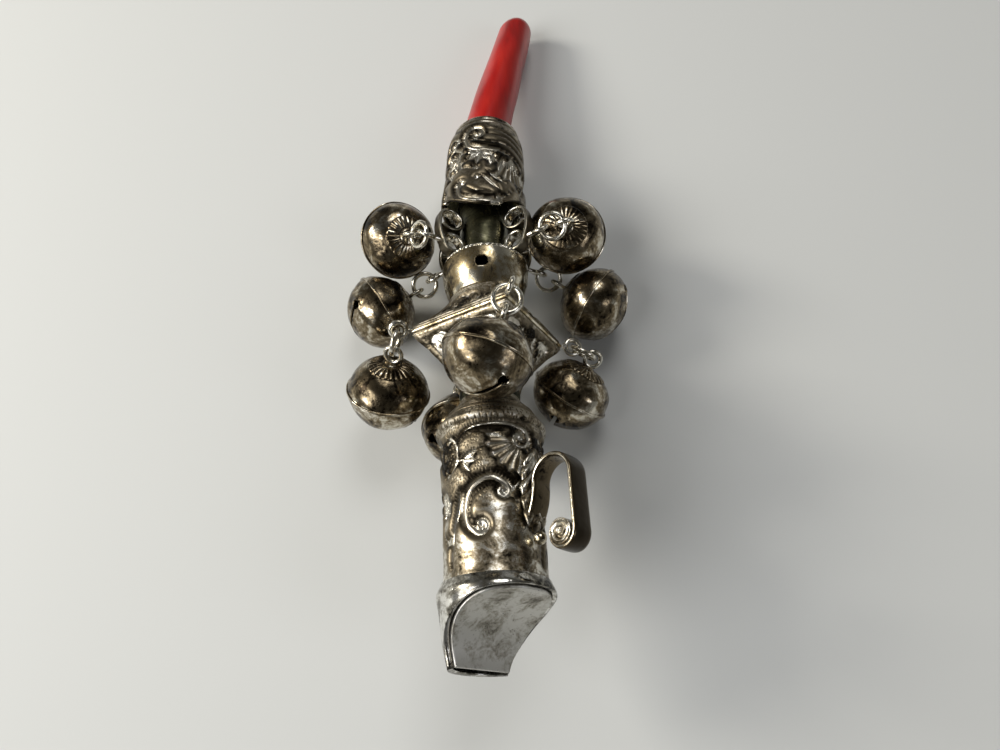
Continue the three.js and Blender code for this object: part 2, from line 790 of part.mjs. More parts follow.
// Chains and bells, each link hung from its eye and each bell from its link
const linkGeometry = wireRing(link.ringRadius, link.wireRadius).translate(0, link.ringRadius, 0);
const crown = crownGeometry();
const bowl = bowlGeometry();
const shot = new THREE.SphereGeometry(pellet.radius, pellet.sides, pellet.sides - 2);
const bellCentre = loopHeight + bell.loopPlay;
const pelletOrbit = bell.crownDepth - bell.wall - pellet.radius - 2 * seatGap;
const cornerReach = canopy.edgeRadius + seatGap + eye.ringRadius + eye.wireRadius;
const hinges = [];

lay.forEach((l, i) => {
  const number = i + 1;
  const corner = l.at === "corner";
  const station = corner ? edgeBase + canopy.edgeBand / 2 : neckBase + bracket.eyeAbove;
  const turn = corner ? canopy.turn + 90 * l.place : bracket.turns[l.place];
  const spoke = new THREE.Group();
  spoke.rotation.y = radians(turn);
  body.add(spoke);
  const frame = eyeFrame(station, corner ? cornerReach : bracket.eyeReach, l.eyeTwist);
  spoke.add(frame);
  if (corner) {
    frame.add(piece(`corner_eye_${l.place + 1}`, geometryOf(eyeRing(eye.wireRadius)), wireSilver));
  }

  const linkGroup = new THREE.Group();
  linkGroup.rotation.set(radians(l.linkSwing), radians(l.linkRoll), radians(l.linkTilt), "XZY");
  linkGroup.add(piece(`link_ring_${number}`, linkGeometry, wireSilver));
  frame.add(linkGroup);

  const bellGroup = new THREE.Group();
  bellGroup.position.y = 2 * link.ringRadius;
  bellGroup.rotation.set(radians(l.bellSwing), 0, radians(l.bellTilt), "XZY");
  linkGroup.add(bellGroup);
  const crownMesh = piece(`bell_crown_${number}`, crown, darkSilver);
  crownMesh.position.y = bellCentre;
  const bowlMesh = piece(`bell_bowl_${number}`, bowl, wornSilver);
  bowlMesh.position.y = bellCentre;
  bowlMesh.rotation.y = radians(l.slitTurn);
  bellGroup.add(crownMesh, bowlMesh);

  rattle.updateMatrixWorld(true);
  const down = new THREE.Vector3(0, 0, -1).transformDirection(bellGroup.matrixWorld.clone().invert());
  const shotMesh = piece(`bell_pellet_${number}`, shot, ironShot);
  shotMesh.position.set(0, bellCentre, 0).addScaledVector(down, pelletOrbit);
  bellGroup.add(shotMesh);
  const rollAxis = new THREE.Vector3(1, 0, 0).addScaledVector(down, -down.x).normalize();

  const place = (group, x, y, z) => group.localToWorld(new THREE.Vector3(x, y, z));
  const direct = (group, x, y, z) => new THREE.Vector3(x, y, z).transformDirection(group.matrixWorld);
  hinges.push(
    {
      joint: `link_${number}_swing`,
      at: place(linkGroup, 0, 0, 0),
      axis: direct(linkGroup, 1, 0, 0),
      moves: [`link_ring_${number}`],
    },
    {
      joint: `bell_${number}_swing`,
      at: place(bellGroup, 0, bell.loopPlay - bell.loopRadius, 0),
      axis: direct(bellGroup, 0, 0, 1),
      moves: [`bell_crown_${number}`, `bell_bowl_${number}`],
    },
    {
      joint: `pellet_${number}_roll`,
      at: place(bellGroup, 0, bellCentre, 0),
      axis: rollAxis.clone().transformDirection(bellGroup.matrixWorld),
      moves: [`bell_pellet_${number}`],
    },
  );
});

// The origin is under the middle of the rattle, on the surface that it lies on
const bounds = new THREE.Box3().setFromObject(rattle, true);
const home = new THREE.Vector3(
  (bounds.min.x + bounds.max.x) / 2,
  (bounds.min.y + bounds.max.y) / 2,
  bounds.min.z,
);
rattle.position.sub(home);
for (const hinge of hinges) hinge.at.sub(home);
rattle.userData.hinges = hinges;
rattle.updateMatrixWorld(true);

export default rattle;
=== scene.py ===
"""Looks of the coral and bells rattle: repousse silver stem, polished coral, dented crotal bells.

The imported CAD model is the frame. Every visible piece is a surface worked out with numpy in millimetres
along the stem, carried into the frame in metres, and dressed in a procedural material named after the
real one. The camera stands where the photograph was taken from, above a plain pale floor.
"""

import json
import logging
import math
from dataclasses import dataclass, field
from enum import Enum
from typing import Callable, Sequence

import bmesh
import bpy
import numpy as np
from mathutils import Matrix, Vector


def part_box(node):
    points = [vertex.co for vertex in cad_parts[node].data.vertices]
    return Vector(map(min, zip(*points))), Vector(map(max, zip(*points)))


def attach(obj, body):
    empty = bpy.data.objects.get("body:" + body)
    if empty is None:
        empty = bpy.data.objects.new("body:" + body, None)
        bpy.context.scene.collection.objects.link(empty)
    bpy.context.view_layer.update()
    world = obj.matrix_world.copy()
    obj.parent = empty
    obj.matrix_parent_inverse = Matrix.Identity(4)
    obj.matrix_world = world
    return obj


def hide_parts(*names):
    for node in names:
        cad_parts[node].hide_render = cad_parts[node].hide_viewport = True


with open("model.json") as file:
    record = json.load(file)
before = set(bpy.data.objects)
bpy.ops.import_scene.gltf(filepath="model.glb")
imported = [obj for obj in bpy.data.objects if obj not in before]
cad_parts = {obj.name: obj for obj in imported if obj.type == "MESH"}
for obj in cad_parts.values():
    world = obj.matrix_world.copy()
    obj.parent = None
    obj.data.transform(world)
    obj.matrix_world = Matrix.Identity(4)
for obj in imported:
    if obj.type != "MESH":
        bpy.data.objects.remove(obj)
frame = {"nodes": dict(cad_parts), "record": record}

logging.basicConfig(level=logging.INFO, format="%(message)s")
log = logging.getLogger("rattle")

MM = 0.001
FLAT_SHARP_DEG = 38.0
BELL_SHARP_DEG = 50.0
RELIEF_SHARP_DEG = 75.0
SHEET_WALL = 0.6
STRAP_THICKNESS = 0.7

Array = np.ndarray
Point = Sequence[float]
Socket = bpy.types.NodeSocket
Values = dict[str | int, object]


def linear(hex_colour: str) -> tuple[float, float, float, float]:
    """Turns an sRGB hex colour, a hash and six digits, into linear RGBA with an alpha of one."""
    channels = [int(hex_colour[i:i + 2], 16) / 255 for i in (1, 3, 5)]
    red, green, blue = (c / 12.92 if c <= 0.04045 else ((c + 0.055) / 1.055) ** 2.4 for c in channels)
    return (red, green, blue, 1.0)


# Materials


@dataclass
class NodeSheet:
    """A node tree under construction."""

    tree: bpy.types.NodeTree

    def add(self, kind: str, settings: Values | None = None, links: Values | None = None) -> bpy.types.Node:
        """Adds one node.

        Args:
            kind: the node's type name after ShaderNode, such as TexNoise.
            settings: values for its properties or, where the name is a socket's, for that socket.
            links: sockets of other nodes by the input that each one feeds.

        Returns:
            The new node.
        """
        node = self.tree.nodes.new("ShaderNode" + kind)
        for key, value in (settings or {}).items():
            if isinstance(key, int) or key in node.inputs:
                node.inputs[key].default_value = value
            else:
                setattr(node, key, value)
        for key, socket in (links or {}).items():
            self.tree.links.new(socket, node.inputs[key])
        return node

    def out(
        self, kind: str, output: str | int, settings: Values | None = None, links: Values | None = None
    ) -> Socket:
        """Adds one node and returns one of its outputs."""
        return self.add(kind, settings, links).outputs[output]

    def ramp(self, source: Socket, stops: Sequence[tuple[float, str]]) -> Socket:
        """Colours a value by a ramp.

        Args:
            source: the value to colour.
            stops: places from 0 to 1 with their hex colours.

        Returns:
            The ramp's colour socket.
        """
        node = self.add("ValToRGB", links={0: source})
        elements = node.color_ramp.elements
        while len(elements) < len(stops):
            elements.new(0.5)
        for element, (place, colour) in zip(elements, stops):
            element.position = place
            element.color = linear(colour)
        return node.outputs["Color"]

    def span(
        self, source: Socket, low: float, high: float, to_low: float = 0.0, to_high: float = 1.0
    ) -> Socket:
        """Maps a value's range onto another, clamped."""
        ends = {"From Min": low, "From Max": high, "To Min": to_low, "To Max": to_high}
        return self.out("MapRange", "Result", ends, {"Value": source})

    def marks(self, *names: str) -> list[Socket]:
        """The sockets of attributes that the meshes carry."""
        return [self.out("Attribute", "Fac", {"attribute_name": name}) for name in names]

    def close(self, settings: Values, links: Values) -> None:
        """Adds the Principled BSDF with its settings and links, and the material's output."""
        shader = self.add("BsdfPrincipled", settings, links)
        self.add("OutputMaterial", links={"Surface": shader.outputs["BSDF"]})


def new_material(name: str) -> tuple[bpy.types.Material, NodeSheet, Socket]:
    """Makes an empty node material, and returns it with its sheet and the object coordinates' socket."""
    material = bpy.data.materials.new(name)
    material.use_nodes = True
    material.node_tree.nodes.clear()
    sheet = NodeSheet(material.node_tree)
    return material, sheet, sheet.out("TexCoord", "Object")


@dataclass(frozen=True)
class SilverFinish:
    """Old sterling silver, raised by hammer and burnished: a near mirror that takes the room's lights.

    It stays pale where hands rub it. Elsewhere sulphide tarnish goes from straw through olive to brown
    black, in clouds a few millimetres wide, in flecks inside them and in every hollow, and dulls the
    mirror. Fine scratches and small dents break the reflections, and the ground of the relief is punched.
    """

    name: str
    bright: str
    warm: str
    dark: str
    tarnish: float
    cloud_mm: float
    roughness: tuple[float, float]
    contrast: float = 0.13
    dent_mm: float = 2.2
    dent_strength: float = 0.25
    scratch_mm: float = 0.14
    stipple_mm: float = 0.48
    stippled: bool = False
    patch_mm: float = 2.6
    pit_mm: float = 0.0

    def stain(self, sheet: NodeSheet, place: Socket) -> Socket:
        """Share of tarnish: clouds and flecks, all of it in hollows, less on rubbed relief.

        The hollow mark also carries painted shade: one face of each strap is darkened by it.
        """
        seen = {"Vector": place}
        coarse = {"Scale": 1 / (MM * self.cloud_mm), "Detail": 6.0, "Roughness": 0.66, "Distortion": 0.7}
        fine = {"Scale": 1 / (MM * self.cloud_mm * 0.17), "Detail": 5.0, "Roughness": 0.7}
        cloud, fleck = (sheet.out("TexNoise", "Fac", values, seen) for values in (coarse, fine))
        mottled = sheet.out("Math", 0, {"operation": "MULTIPLY_ADD", 1: 0.4}, {0: fleck, 2: cloud})
        middle = 0.7 + (0.5 - self.tarnish) * 0.4
        share = sheet.span(mottled, middle - self.contrast, middle + self.contrast)
        # hollow: tarnish in the relief's hollows, and painted shade on one face of each strap
        rubbed, hollow = sheet.marks("rubbed", "hollow")
        kept = sheet.span(rubbed, 0.0, 1.0, 1.0, 0.35)
        share = sheet.out("Math", 0, {"operation": "MULTIPLY"}, {0: share, 1: kept})
        return sheet.out("Math", 0, {"operation": "MAXIMUM"}, {0: share, 1: hollow})

    def bump(self, sheet: NodeSheet, place: Socket) -> Socket:
        """Normal of the metal with its shallow dents and its fine scratches."""
        uneven = {"Scale": 1 / (MM * self.dent_mm), "Detail": 3.0, "Roughness": 0.5}
        grain = sheet.out("TexNoise", "Fac", uneven, {"Vector": place})
        depth = {"Strength": self.dent_strength, "Distance": 0.12 * MM}
        dented = sheet.out("Bump", "Normal", depth, {"Height": grain})
        drawn = {"Scale": (1.0, 0.12, 1.0), "Rotation": (0.3, 0.2, 0.6)}
        along = sheet.out("Mapping", "Vector", drawn, {"Vector": place})
        fine = {"Scale": 1 / (MM * self.scratch_mm), "Detail": 2.0}
        scratch = sheet.out("TexNoise", "Fac", fine, {"Vector": along})
        depth = {"Strength": 0.2, "Distance": 0.007 * MM}
        return sheet.out("Bump", "Normal", depth, {"Height": scratch, "Normal": dented})

    def sunk(
        self, sheet: NodeSheet, marks: Socket, normal: Socket, strength: float, depth_mm: float
    ) -> Socket:
        """Sinks marks into the metal, and returns the new normal."""
        depth = {"Strength": strength, "Distance": depth_mm * MM, "invert": True}
        return sheet.out("Bump", "Normal", depth, {"Height": marks, "Normal": normal})

    def pricked(self, sheet: NodeSheet, ground: Socket) -> Socket:
        """Dots punched side by side on the ground between the forms."""
        across, along = sheet.marks("across", "along")
        flat = sheet.out("CombineXYZ", "Vector", {}, {"X": across, "Y": along})
        cells = {"voronoi_dimensions": "2D", "Scale": 1 / self.stipple_mm, "Randomness": 0.7}
        dots = sheet.out("TexVoronoi", "Distance", cells, {"Vector": flat})
        parts = {0: sheet.span(dots, 0.1, 0.42, 1.0, 0.0), 1: ground}
        return sheet.out("Math", 0, {"operation": "MULTIPLY"}, parts)

    def pitted(self, sheet: NodeSheet, place: Socket) -> Socket:
        """Small pits that gather in patches."""
        pits = sheet.out("TexVoronoi", "Distance", {"Scale": 1 / (MM * self.pit_mm)}, {"Vector": place})
        cloud = {"Scale": 1 / (MM * self.patch_mm), "Detail": 4.0}
        patch = sheet.out("TexNoise", "Fac", cloud, {"Vector": place})
        parts = {0: sheet.span(pits, 0.1, 0.26, 1.0, 0.0), 1: sheet.span(patch, 0.52, 0.62)}
        return sheet.out("Math", 0, {"operation": "MULTIPLY"}, parts)

    def material(self) -> bpy.types.Material:
        """Builds the material."""
        material, sheet, place = new_material(self.name)
        stain = self.stain(sheet, place)
        bump = self.bump(sheet, place)
        greater = {"operation": "MAXIMUM"}
        if self.stippled:
            (ground,) = sheet.marks("ground")
            dots = self.pricked(sheet, ground)
            stain = sheet.out("Math", 0, greater, {0: stain, 1: sheet.span(dots, 0.0, 1.0, 0.0, 0.85)})
            bump = self.sunk(sheet, dots, bump, 0.6, 0.08)
        colour = sheet.ramp(stain, ((0.0, self.bright), (0.45, self.warm), (1.0, self.dark)))
        if self.pit_mm:
            pits = self.pitted(sheet, place)
            dirt = {"data_type": "RGBA", 7: linear("#3A362E")}
            colour = sheet.out("Mix", 2, dirt, {0: pits, 6: colour})
            bump = self.sunk(sheet, pits, bump, 0.5, 0.06)
        rough = sheet.span(stain, 0.0, 1.0, *self.roughness)
        if self.stippled:
            rough = sheet.out("Math", 0, greater, {0: rough, 1: sheet.span(ground, 0.0, 1.0, 0.0, 0.44)})
        sheet.close({"Metallic": 1.0}, {"Base Color": colour, "Roughness": rough, "Normal": bump})
        return material


@dataclass(frozen=True)
class CoralFinish:
    """Polished red coral: a glossy skin over a dense body, deeper red inside and orange where it thins."""

    name: str = "polished_red_coral"
    deep: str = "#780704"
    body: str = "#A00F08"
    pale: str = "#B82214"
    band_mm: float = 3.5

    def material(self) -> bpy.types.Material:
        """Builds the material."""
        material, sheet, place = new_material(self.name)
        lengthwise = sheet.out("Mapping", "Vector", {"Scale": (1.0, 0.16, 1.0)}, {"Vector": place})
        grain = {"Scale": 1 / (self.band_mm * MM), "Detail": 5.0, "Roughness": 0.55}
        streak = sheet.out("TexNoise", "Fac", grain, {"Vector": lengthwise})
        colour = sheet.ramp(streak, ((0.32, self.deep), (0.52, self.body), (0.8, self.pale)))
        ripple = sheet.out("Bump", "Normal", {"Strength": 0.35, "Distance": 0.08 * MM}, {"Height": streak})
        gloss = {"Roughness": 0.3, "IOR": 1.49, "Coat Weight": 0.15, "Coat Roughness": 0.06}
        depth = {"Subsurface Weight": 0.12, "Subsurface Radius": (1.2 * MM, 0.3 * MM, 0.15 * MM),
                 "Subsurface Scale": 1.0}
        sheet.close({**gloss, **depth}, {"Base Color": colour, "Normal": ripple})
        return material


@dataclass(frozen=True)
class IronFinish:
    """Dull cast iron shot with a brown skin of rust."""

    name: str = "iron_shot"

    def material(self) -> bpy.types.Material:
        """Builds the material."""
        material, sheet, place = new_material(self.name)
        rust = sheet.out("TexNoise", "Fac", {"Scale": 1 / (0.7 * MM), "Detail": 4.0}, {"Vector": place})
        colour = sheet.ramp(rust, ((0.35, "#3C3834"), (0.6, "#57402C"), (0.8, "#70492A")))
        bump = sheet.out("Bump", "Normal", {"Strength": 0.4, "Distance": 0.04 * MM}, {"Height": rust})
        sheet.close({"Metallic": 0.8, "Roughness": 0.55}, {"Base Color": colour, "Normal": bump})
        return material


@dataclass(frozen=True)
class BoardFinish:
    """Matt pale board that the rattle lies on."""

    name: str = "matt_pale_board"
    shade: str = "#CBCCC9"

    def material(self) -> bpy.types.Material:
        """Builds the material."""
        material, sheet, place = new_material(self.name)
        tooth = sheet.out("TexNoise", "Fac", {"Scale": 1 / (1.5 * MM), "Detail": 3.0}, {"Vector": place})
        bump = sheet.out("Bump", "Normal", {"Strength": 0.05, "Distance": 0.02 * MM}, {"Height": tooth})
        sheet.close({"Base Color": linear(self.shade), "Roughness": 0.75}, {"Normal": bump})
        return material


class Finish(Enum):
    """The finishes that the pieces choose among."""

    CHASED = SilverFinish("chased_silver", "#E6E2D6", "#857A66", "#1A1610", 0.42, 3.0, (0.26, 0.42),
                          dent_strength=0.15, stippled=True)
    POLISHED = SilverFinish("rubbed_bright_silver", "#E0D9C6", "#9C8C6B", "#37322A", 0.42, 5.0, (0.17, 0.36))
    MOUTHED = SilverFinish("mouth_worn_silver", "#E9E7E1", "#8F8B80", "#24221D", 0.44, 4.0, (0.14, 0.34),
                           contrast=0.12, dent_strength=0.4, pit_mm=0.5)
    TARNISHED = SilverFinish("olive_tarnished_silver", "#8F8B73", "#5C5A45", "#20211A", 0.55, 7.0,
                             (0.2, 0.42))
    BELL = SilverFinish("dented_bell_silver", "#DAD4C4", "#82745C", "#1D1812", 0.54, 4.0, (0.12, 0.3),
                        contrast=0.14, dent_mm=2.6, dent_strength=0.6)
    WIRE = SilverFinish("drawn_silver_wire", "#EAE6DA", "#B0A894", "#4A4336", 0.28, 1.6, (0.2, 0.34))
    SATIN = SilverFinish("satin_rubbed_silver", "#C6C4BE", "#A7A399", "#6C685E", 0.3, 3.0, (0.42, 0.55),
                         dent_strength=0.1, pit_mm=0.55)
    CORAL = CoralFinish()
    SHOT = IronFinish()
    BOARD = BoardFinish()


MADE: dict[Finish, bpy.types.Material] = {}


def dressed(finish: Finish) -> bpy.types.Material:
    """Returns the finish's material, made the first time that it is asked for."""
    if finish not in MADE:
        MADE[finish] = finish.value.material()
    return MADE[finish]


def refinish(node: str, finish: Finish) -> None:
    """Gives a CAD node that stays in the scene its finish."""
    materials = frame["nodes"][node].data.materials
    materials.clear()
    materials.append(dressed(finish))


# Meshes


def full_turn(count: int) -> Array:
    """Angles in radians of count even steps round a circle."""
    return np.arange(count) * (2 * math.pi / count)


def xyz(x: Array | float, y: Array | float, z: Array | float) -> Array:
    """Points from three coordinates that broadcast together."""
    return np.stack(np.broadcast_arrays(x, y, z), axis=-1)


def spun(points: Array, degrees: float) -> Array:
    """Turns points about the Y axis, from +Z towards +X."""
    angle = math.radians(degrees)
    x = points[..., 0] * math.cos(angle) + points[..., 2] * math.sin(angle)
    z = -points[..., 0] * math.sin(angle) + points[..., 2] * math.cos(angle)
    return xyz(x, points[..., 1], z)


def grid_faces(rows: int, columns: int, wrap: bool = True, ring: bool = False) -> Array:
    """Quads of a grid of points numbered row by row.

    Args:
        rows: number of rows.
        columns: number of columns.
        wrap: whether the last column joins the first.
        ring: whether the last row joins the first.

    Returns:
        An array of four vertex numbers per face, turning from rows to columns.
    """
    i = np.arange(rows if ring else rows - 1)[:, None]
    j = np.arange(columns if wrap else columns - 1)[None, :]
    below, beside = (i + 1) % rows * columns, (j + 1) % columns
    corners = (i * columns + j, i * columns + beside, below + beside, below + j)
    return np.stack(np.broadcast_arrays(*corners), axis=-1).reshape(-1, 4)


@dataclass
class Skin:
    """Points, quads and named attributes of one mesh."""

    points: Array
    quads: Array
    marks: dict[str, Array] = field(default_factory=dict)

    def joined(self, other: "Skin") -> "Skin":
        """Returns this mesh and another as one, with missing attributes as zero."""
        marks = {
            name: np.concatenate([p.marks.get(name, np.zeros(len(p.points))) for p in (self, other)])
            for name in set(self.marks) | set(other.marks)
        }
        points = np.concatenate([self.points, other.points])
        return Skin(points, np.concatenate([self.quads, other.quads + len(self.points)]), marks)


def piece(
    name: str, skin: Skin, finish: Finish, replaces: str = "", wall: float = 0.0,
    body: str = "stem", sharp_deg: float = FLAT_SHARP_DEG,
) -> None:
    """Args:
        name: the piece's name.
        skin: its mesh, in metres in the frame.
        finish: its finish.
        replaces: the CAD node that it stands for, if any.
        wall: thickness in millimetres given inwards to an open surface, or none.
        body: the CAD body that it rides on.
        sharp_deg: faces that meet at more than this angle keep a sharp edge.
    """
    mesh = bpy.data.meshes.new(name)
    quads = skin.quads
    mesh.vertices.add(len(skin.points))
    mesh.vertices.foreach_set("co", skin.points.astype(np.float32).ravel())
    mesh.loops.add(quads.size)
    mesh.loops.foreach_set("vertex_index", quads.astype(np.int32).ravel())
    mesh.polygons.add(len(quads))
    mesh.polygons.foreach_set("loop_start", np.arange(0, quads.size, 4, dtype=np.int32))
    mesh.polygons.foreach_set("use_smooth", np.ones(len(quads), dtype=bool))
    for mark, values in skin.marks.items():
        mesh.attributes.new(mark, "FLOAT", "POINT").data.foreach_set("value", values.astype(np.float32))
    mesh.update(calc_edges=True)
    mesh.validate()
    work = bmesh.new()
    work.from_mesh(mesh)
    bmesh.ops.remove_doubles(work, verts=work.verts, dist=2e-6)
    bmesh.ops.dissolve_degenerate(work, edges=work.edges, dist=1e-7)
    work.to_mesh(mesh)
    work.free()
    mesh.set_sharp_from_angle(angle=math.radians(sharp_deg))
    mesh.materials.append(dressed(finish))
    obj = bpy.data.objects.new(name, mesh)
    bpy.context.scene.collection.objects.link(obj)
    if wall:
        shell = obj.modifiers.new("wall", "SOLIDIFY")
        shell.thickness = wall * MM
        shell.offset = -1.0
    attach(obj, body)
    if replaces:
        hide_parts(replaces)
    log.info("%s: %d faces", name, len(mesh.polygons))


def outward(points: Array) -> Array:
    """Unit normals of a turned grid, from the cross product of its differences along rows and columns."""
    across = np.roll(points, -1, axis=1) - np.roll(points, 1, axis=1)
    normal = np.cross(across, np.gradient(points, axis=0))
    return -normal / np.maximum(np.linalg.norm(normal, axis=-1, keepdims=True), 1e-12)


def dents(points: Array, size: float, seed: int, waves: int = 9) -> Array:
    """Smooth unevenness of hand-worked metal, between about -1 and 1.

    The sum of plane sine waves of random direction and phase, with lengths from half to twice the size.

    Args:
        points: points in metres.
        size: mean length of a wave in metres.
        seed: number that fixes the waves.
        waves: number of waves.

    Returns:
        One value per point.
    """
    rng = np.random.default_rng(seed)
    total = np.zeros(points.shape[:-1])
    for _ in range(waves):
        direction = rng.normal(size=3)
        direction /= np.linalg.norm(direction)
        length = size * 2 ** rng.uniform(-1, 1)
        total += np.sin(points @ direction * (2 * math.pi / length) + rng.uniform(0, 2 * math.pi))
    return total / math.sqrt(waves)


def rounded(profile: Sequence[Point], radius: float, steps: int = 4) -> Array:
    """Rounds the corners of an open profile with arcs of a quadratic curve.

    Args:
        profile: radius and height pairs.
        radius: how far along each leg the curve starts, or just under half a leg where that is less.
        steps: points per corner.

    Returns:
        The rounded profile.
    """
    points = np.array(profile, dtype=float)
    out = [points[0]]
    t = np.linspace(0, 1, steps)[:, None]
    for before, corner, after in zip(points[:-2], points[1:-1], points[2:]):
        legs = []
        for end in (before, after):
            length = np.linalg.norm(end - corner)
            legs.append(corner + (end - corner) / max(length, 1e-9) * min(radius, 0.45 * length))
        out.extend((1 - t) ** 2 * legs[0] + 2 * t * (1 - t) * corner + t ** 2 * legs[1])
    out.append(points[-1])
    return np.array(out)


def filled(profile: Array, step: float) -> Array:
    """Adds points to a profile so that none lie further apart than step."""
    out = [profile[:1]]
    for a, b in zip(profile[:-1], profile[1:]):
        count = max(1, math.ceil(np.linalg.norm(b - a) / step))
        out.append(a + (b - a) * (np.arange(1, count + 1) / count)[:, None])
    return np.concatenate(out)


def smooth_line(path: Sequence[Point], steps: int = 10) -> Array:
    """A Catmull-Rom curve through points, with steps points from each to the next."""
    points = np.array(path, dtype=float)
    padded = np.concatenate([[2 * points[0] - points[1]], points, [2 * points[-1] - points[-2]]])
    t = np.arange(steps)[:, None] / steps
    out = []
    for p0, p1, p2, p3 in zip(padded[:-3], padded[1:-2], padded[2:-1], padded[3:]):
        bend = (2 * p0 - 5 * p1 + 4 * p2 - p3) * t ** 2 + (3 * p1 - p0 - 3 * p2 + p3) * t ** 3
        out.append(0.5 * (2 * p1 + (p2 - p0) * t + bend))
    return np.concatenate(out + [points[-1:]])


# Repousse relief, drawn on a developed surface: u runs round the piece and v along it, in millimetres


@dataclass
class Relief:
    """Height and worn smoothness of chased ornament on a grid of developed coordinates."""

    u: Array
    v: Array
    period: float
    height: Array = field(init=False)
    smooth: Array = field(init=False)

    def __post_init__(self) -> None:
        """Starts from a flat ground."""
        self.height = np.zeros_like(self.u)
        self.smooth = np.zeros_like(self.u)

    def draw(self, forms: Sequence[tuple], u: float, v: float = 0.0) -> None:
        """Draws a table of forms, each a method, its points and its measures, moved by u and v."""
        for form, points, *measures in forms:
            form(self, np.array(points) + (u, v), *measures)

    def near(self, centre: Point, reach: float) -> tuple[Array, Array, Array]:
        """Grid places near a point and their offsets from it, the shorter way round."""
        du = (self.u - centre[0] + self.period / 2) % self.period - self.period / 2
        dv = self.v - centre[1]
        near = (np.abs(du) < reach) & (np.abs(dv) < reach)
        return near, du[near], dv[near]

    def raise_to(self, near: Array, height: Array) -> None:
        """Raises the metal to a height where that is above what is there."""
        self.height[near] = np.maximum(self.height[near], height)
        self.smooth[near] = np.maximum(self.smooth[near], np.clip(height * 6, 0, 1))

    def ridge(
        self, line: Array, width: float, height: float, groove: float = 0.45, taper: bool = True
    ) -> None:
        """A raised strap along a line, half-round with a groove down its middle.

        The height at distance d from the line is height * sqrt(1 - (d / w)^2), less the groove, where the
        half width w swells from the line's ends to its middle.

        Args:
            line: points of the line.
            width: half width at the middle.
            height: height of the strap.
            groove: depth of the groove as a share of the height.
            taper: whether the ends are narrower.
        """
        centre = (line.min(axis=0) + line.max(axis=0)) / 2
        near, du, dv = self.near(centre, np.abs(line - centre).max() + width)
        if not near.any():
            return
        best = np.full(du.shape, 1e9)
        along = np.zeros(du.shape)
        for k, (a, b) in enumerate(zip(line[:-1] - centre, line[1:] - centre)):
            leg = b - a
            t = np.clip(((du - a[0]) * leg[0] + (dv - a[1]) * leg[1]) / max(leg @ leg, 1e-12), 0, 1)
            d = np.hypot(du - a[0] - t * leg[0], dv - a[1] - t * leg[1])
            closer = d < best
            best = np.where(closer, d, best)
            along = np.where(closer, (k + t) / (len(line) - 1), along)
        x = best / (width * (0.55 + 0.45 * np.sin(math.pi * along)) if taper else width)
        shape = np.sqrt(np.clip(1 - x ** 2, 0, 1)) * (1 - groove * np.exp(-(x / 0.28) ** 2))
        self.raise_to(near, height * shape)

    def rib(self, path: Sequence[Point], width: float, height: float) -> None:
        """A plain half-round rib along a smooth path."""
        self.ridge(smooth_line(path), width, height, 0.0)

    def scroll(
        self, path: Sequence[Point], curls: Point, width: float, height: float, turns: float = 1.15
    ) -> None:
        """A C-scroll or S-scroll: a strap that ends in a curl at one or both ends, with a boss in each.

        Each curl is a spiral that starts where the path ends, in the path's own direction.

        Args:
            path: points that the strap passes through.
            curls: signed radius of the spiral at the start and the end, positive to the left of the path.
            width: half width of the strap.
            height: its height.
            turns: turns of each spiral.
        """
        line = smooth_line(path)
        parts = [line]
        for end, curl in enumerate(curls):
            if not curl:
                continue
            tip, inner = (line[-1], line[-2]) if end else (line[0], line[1])
            heading = (tip - inner) / np.linalg.norm(tip - inner)
            eye = tip + np.array([-heading[1], heading[0]]) * math.copysign(1, curl) * abs(curl)
            t = np.linspace(0, 1, 30)[1:]
            angle = math.atan2(*(tip - eye)[::-1]) + math.copysign(1, curl) * 2 * math.pi * turns * t
            r = abs(curl) * (1 - 0.86 * t ** 0.9)
            coil = eye + r[:, None] * np.stack([np.cos(angle), np.sin(angle)], axis=1)
            parts = parts + [coil] if end else [coil[::-1]] + parts
            self.boss(eye, 0.3 * abs(curl) + 0.12, height * 1.15)
        self.ridge(np.concatenate(parts), width, height)

    def boss(self, centre: Point, radius: float, height: float) -> None:
        """A round bead of a given radius and height."""
        near, du, dv = self.near(centre, radius)
        self.raise_to(near, height * np.sqrt(np.clip(1 - (du ** 2 + dv ** 2) / radius ** 2, 0, 1)))

    def petal(self, ends: Sequence[Point], width: float, height: float) -> None:
        """A pointed leaf with a vein, whose half width is width * sin(pi t)^0.7 at the share t of its length.

        Args:
            ends: its base and its tip.
            width: half width at its widest.
            height: its height.
        """
        base, tip = np.array(ends, dtype=float)
        length = np.linalg.norm(tip - base)
        way = (tip - base) / length
        near, du, dv = self.near(base, length + width)
        t = (du * way[0] + dv * way[1]) / length
        w = width * np.sin(math.pi * np.clip(t, 0.001, 0.999)) ** 0.7
        x = np.abs(du * -way[1] + dv * way[0]) / np.maximum(w, 1e-6)
        shape = np.clip(1 - x ** 2, 0, 1) ** 0.6 * (1 - 0.3 * np.exp(-(x / 0.22) ** 2))
        self.raise_to(near, np.where((t > 0) & (t < 1), height * shape, 0))

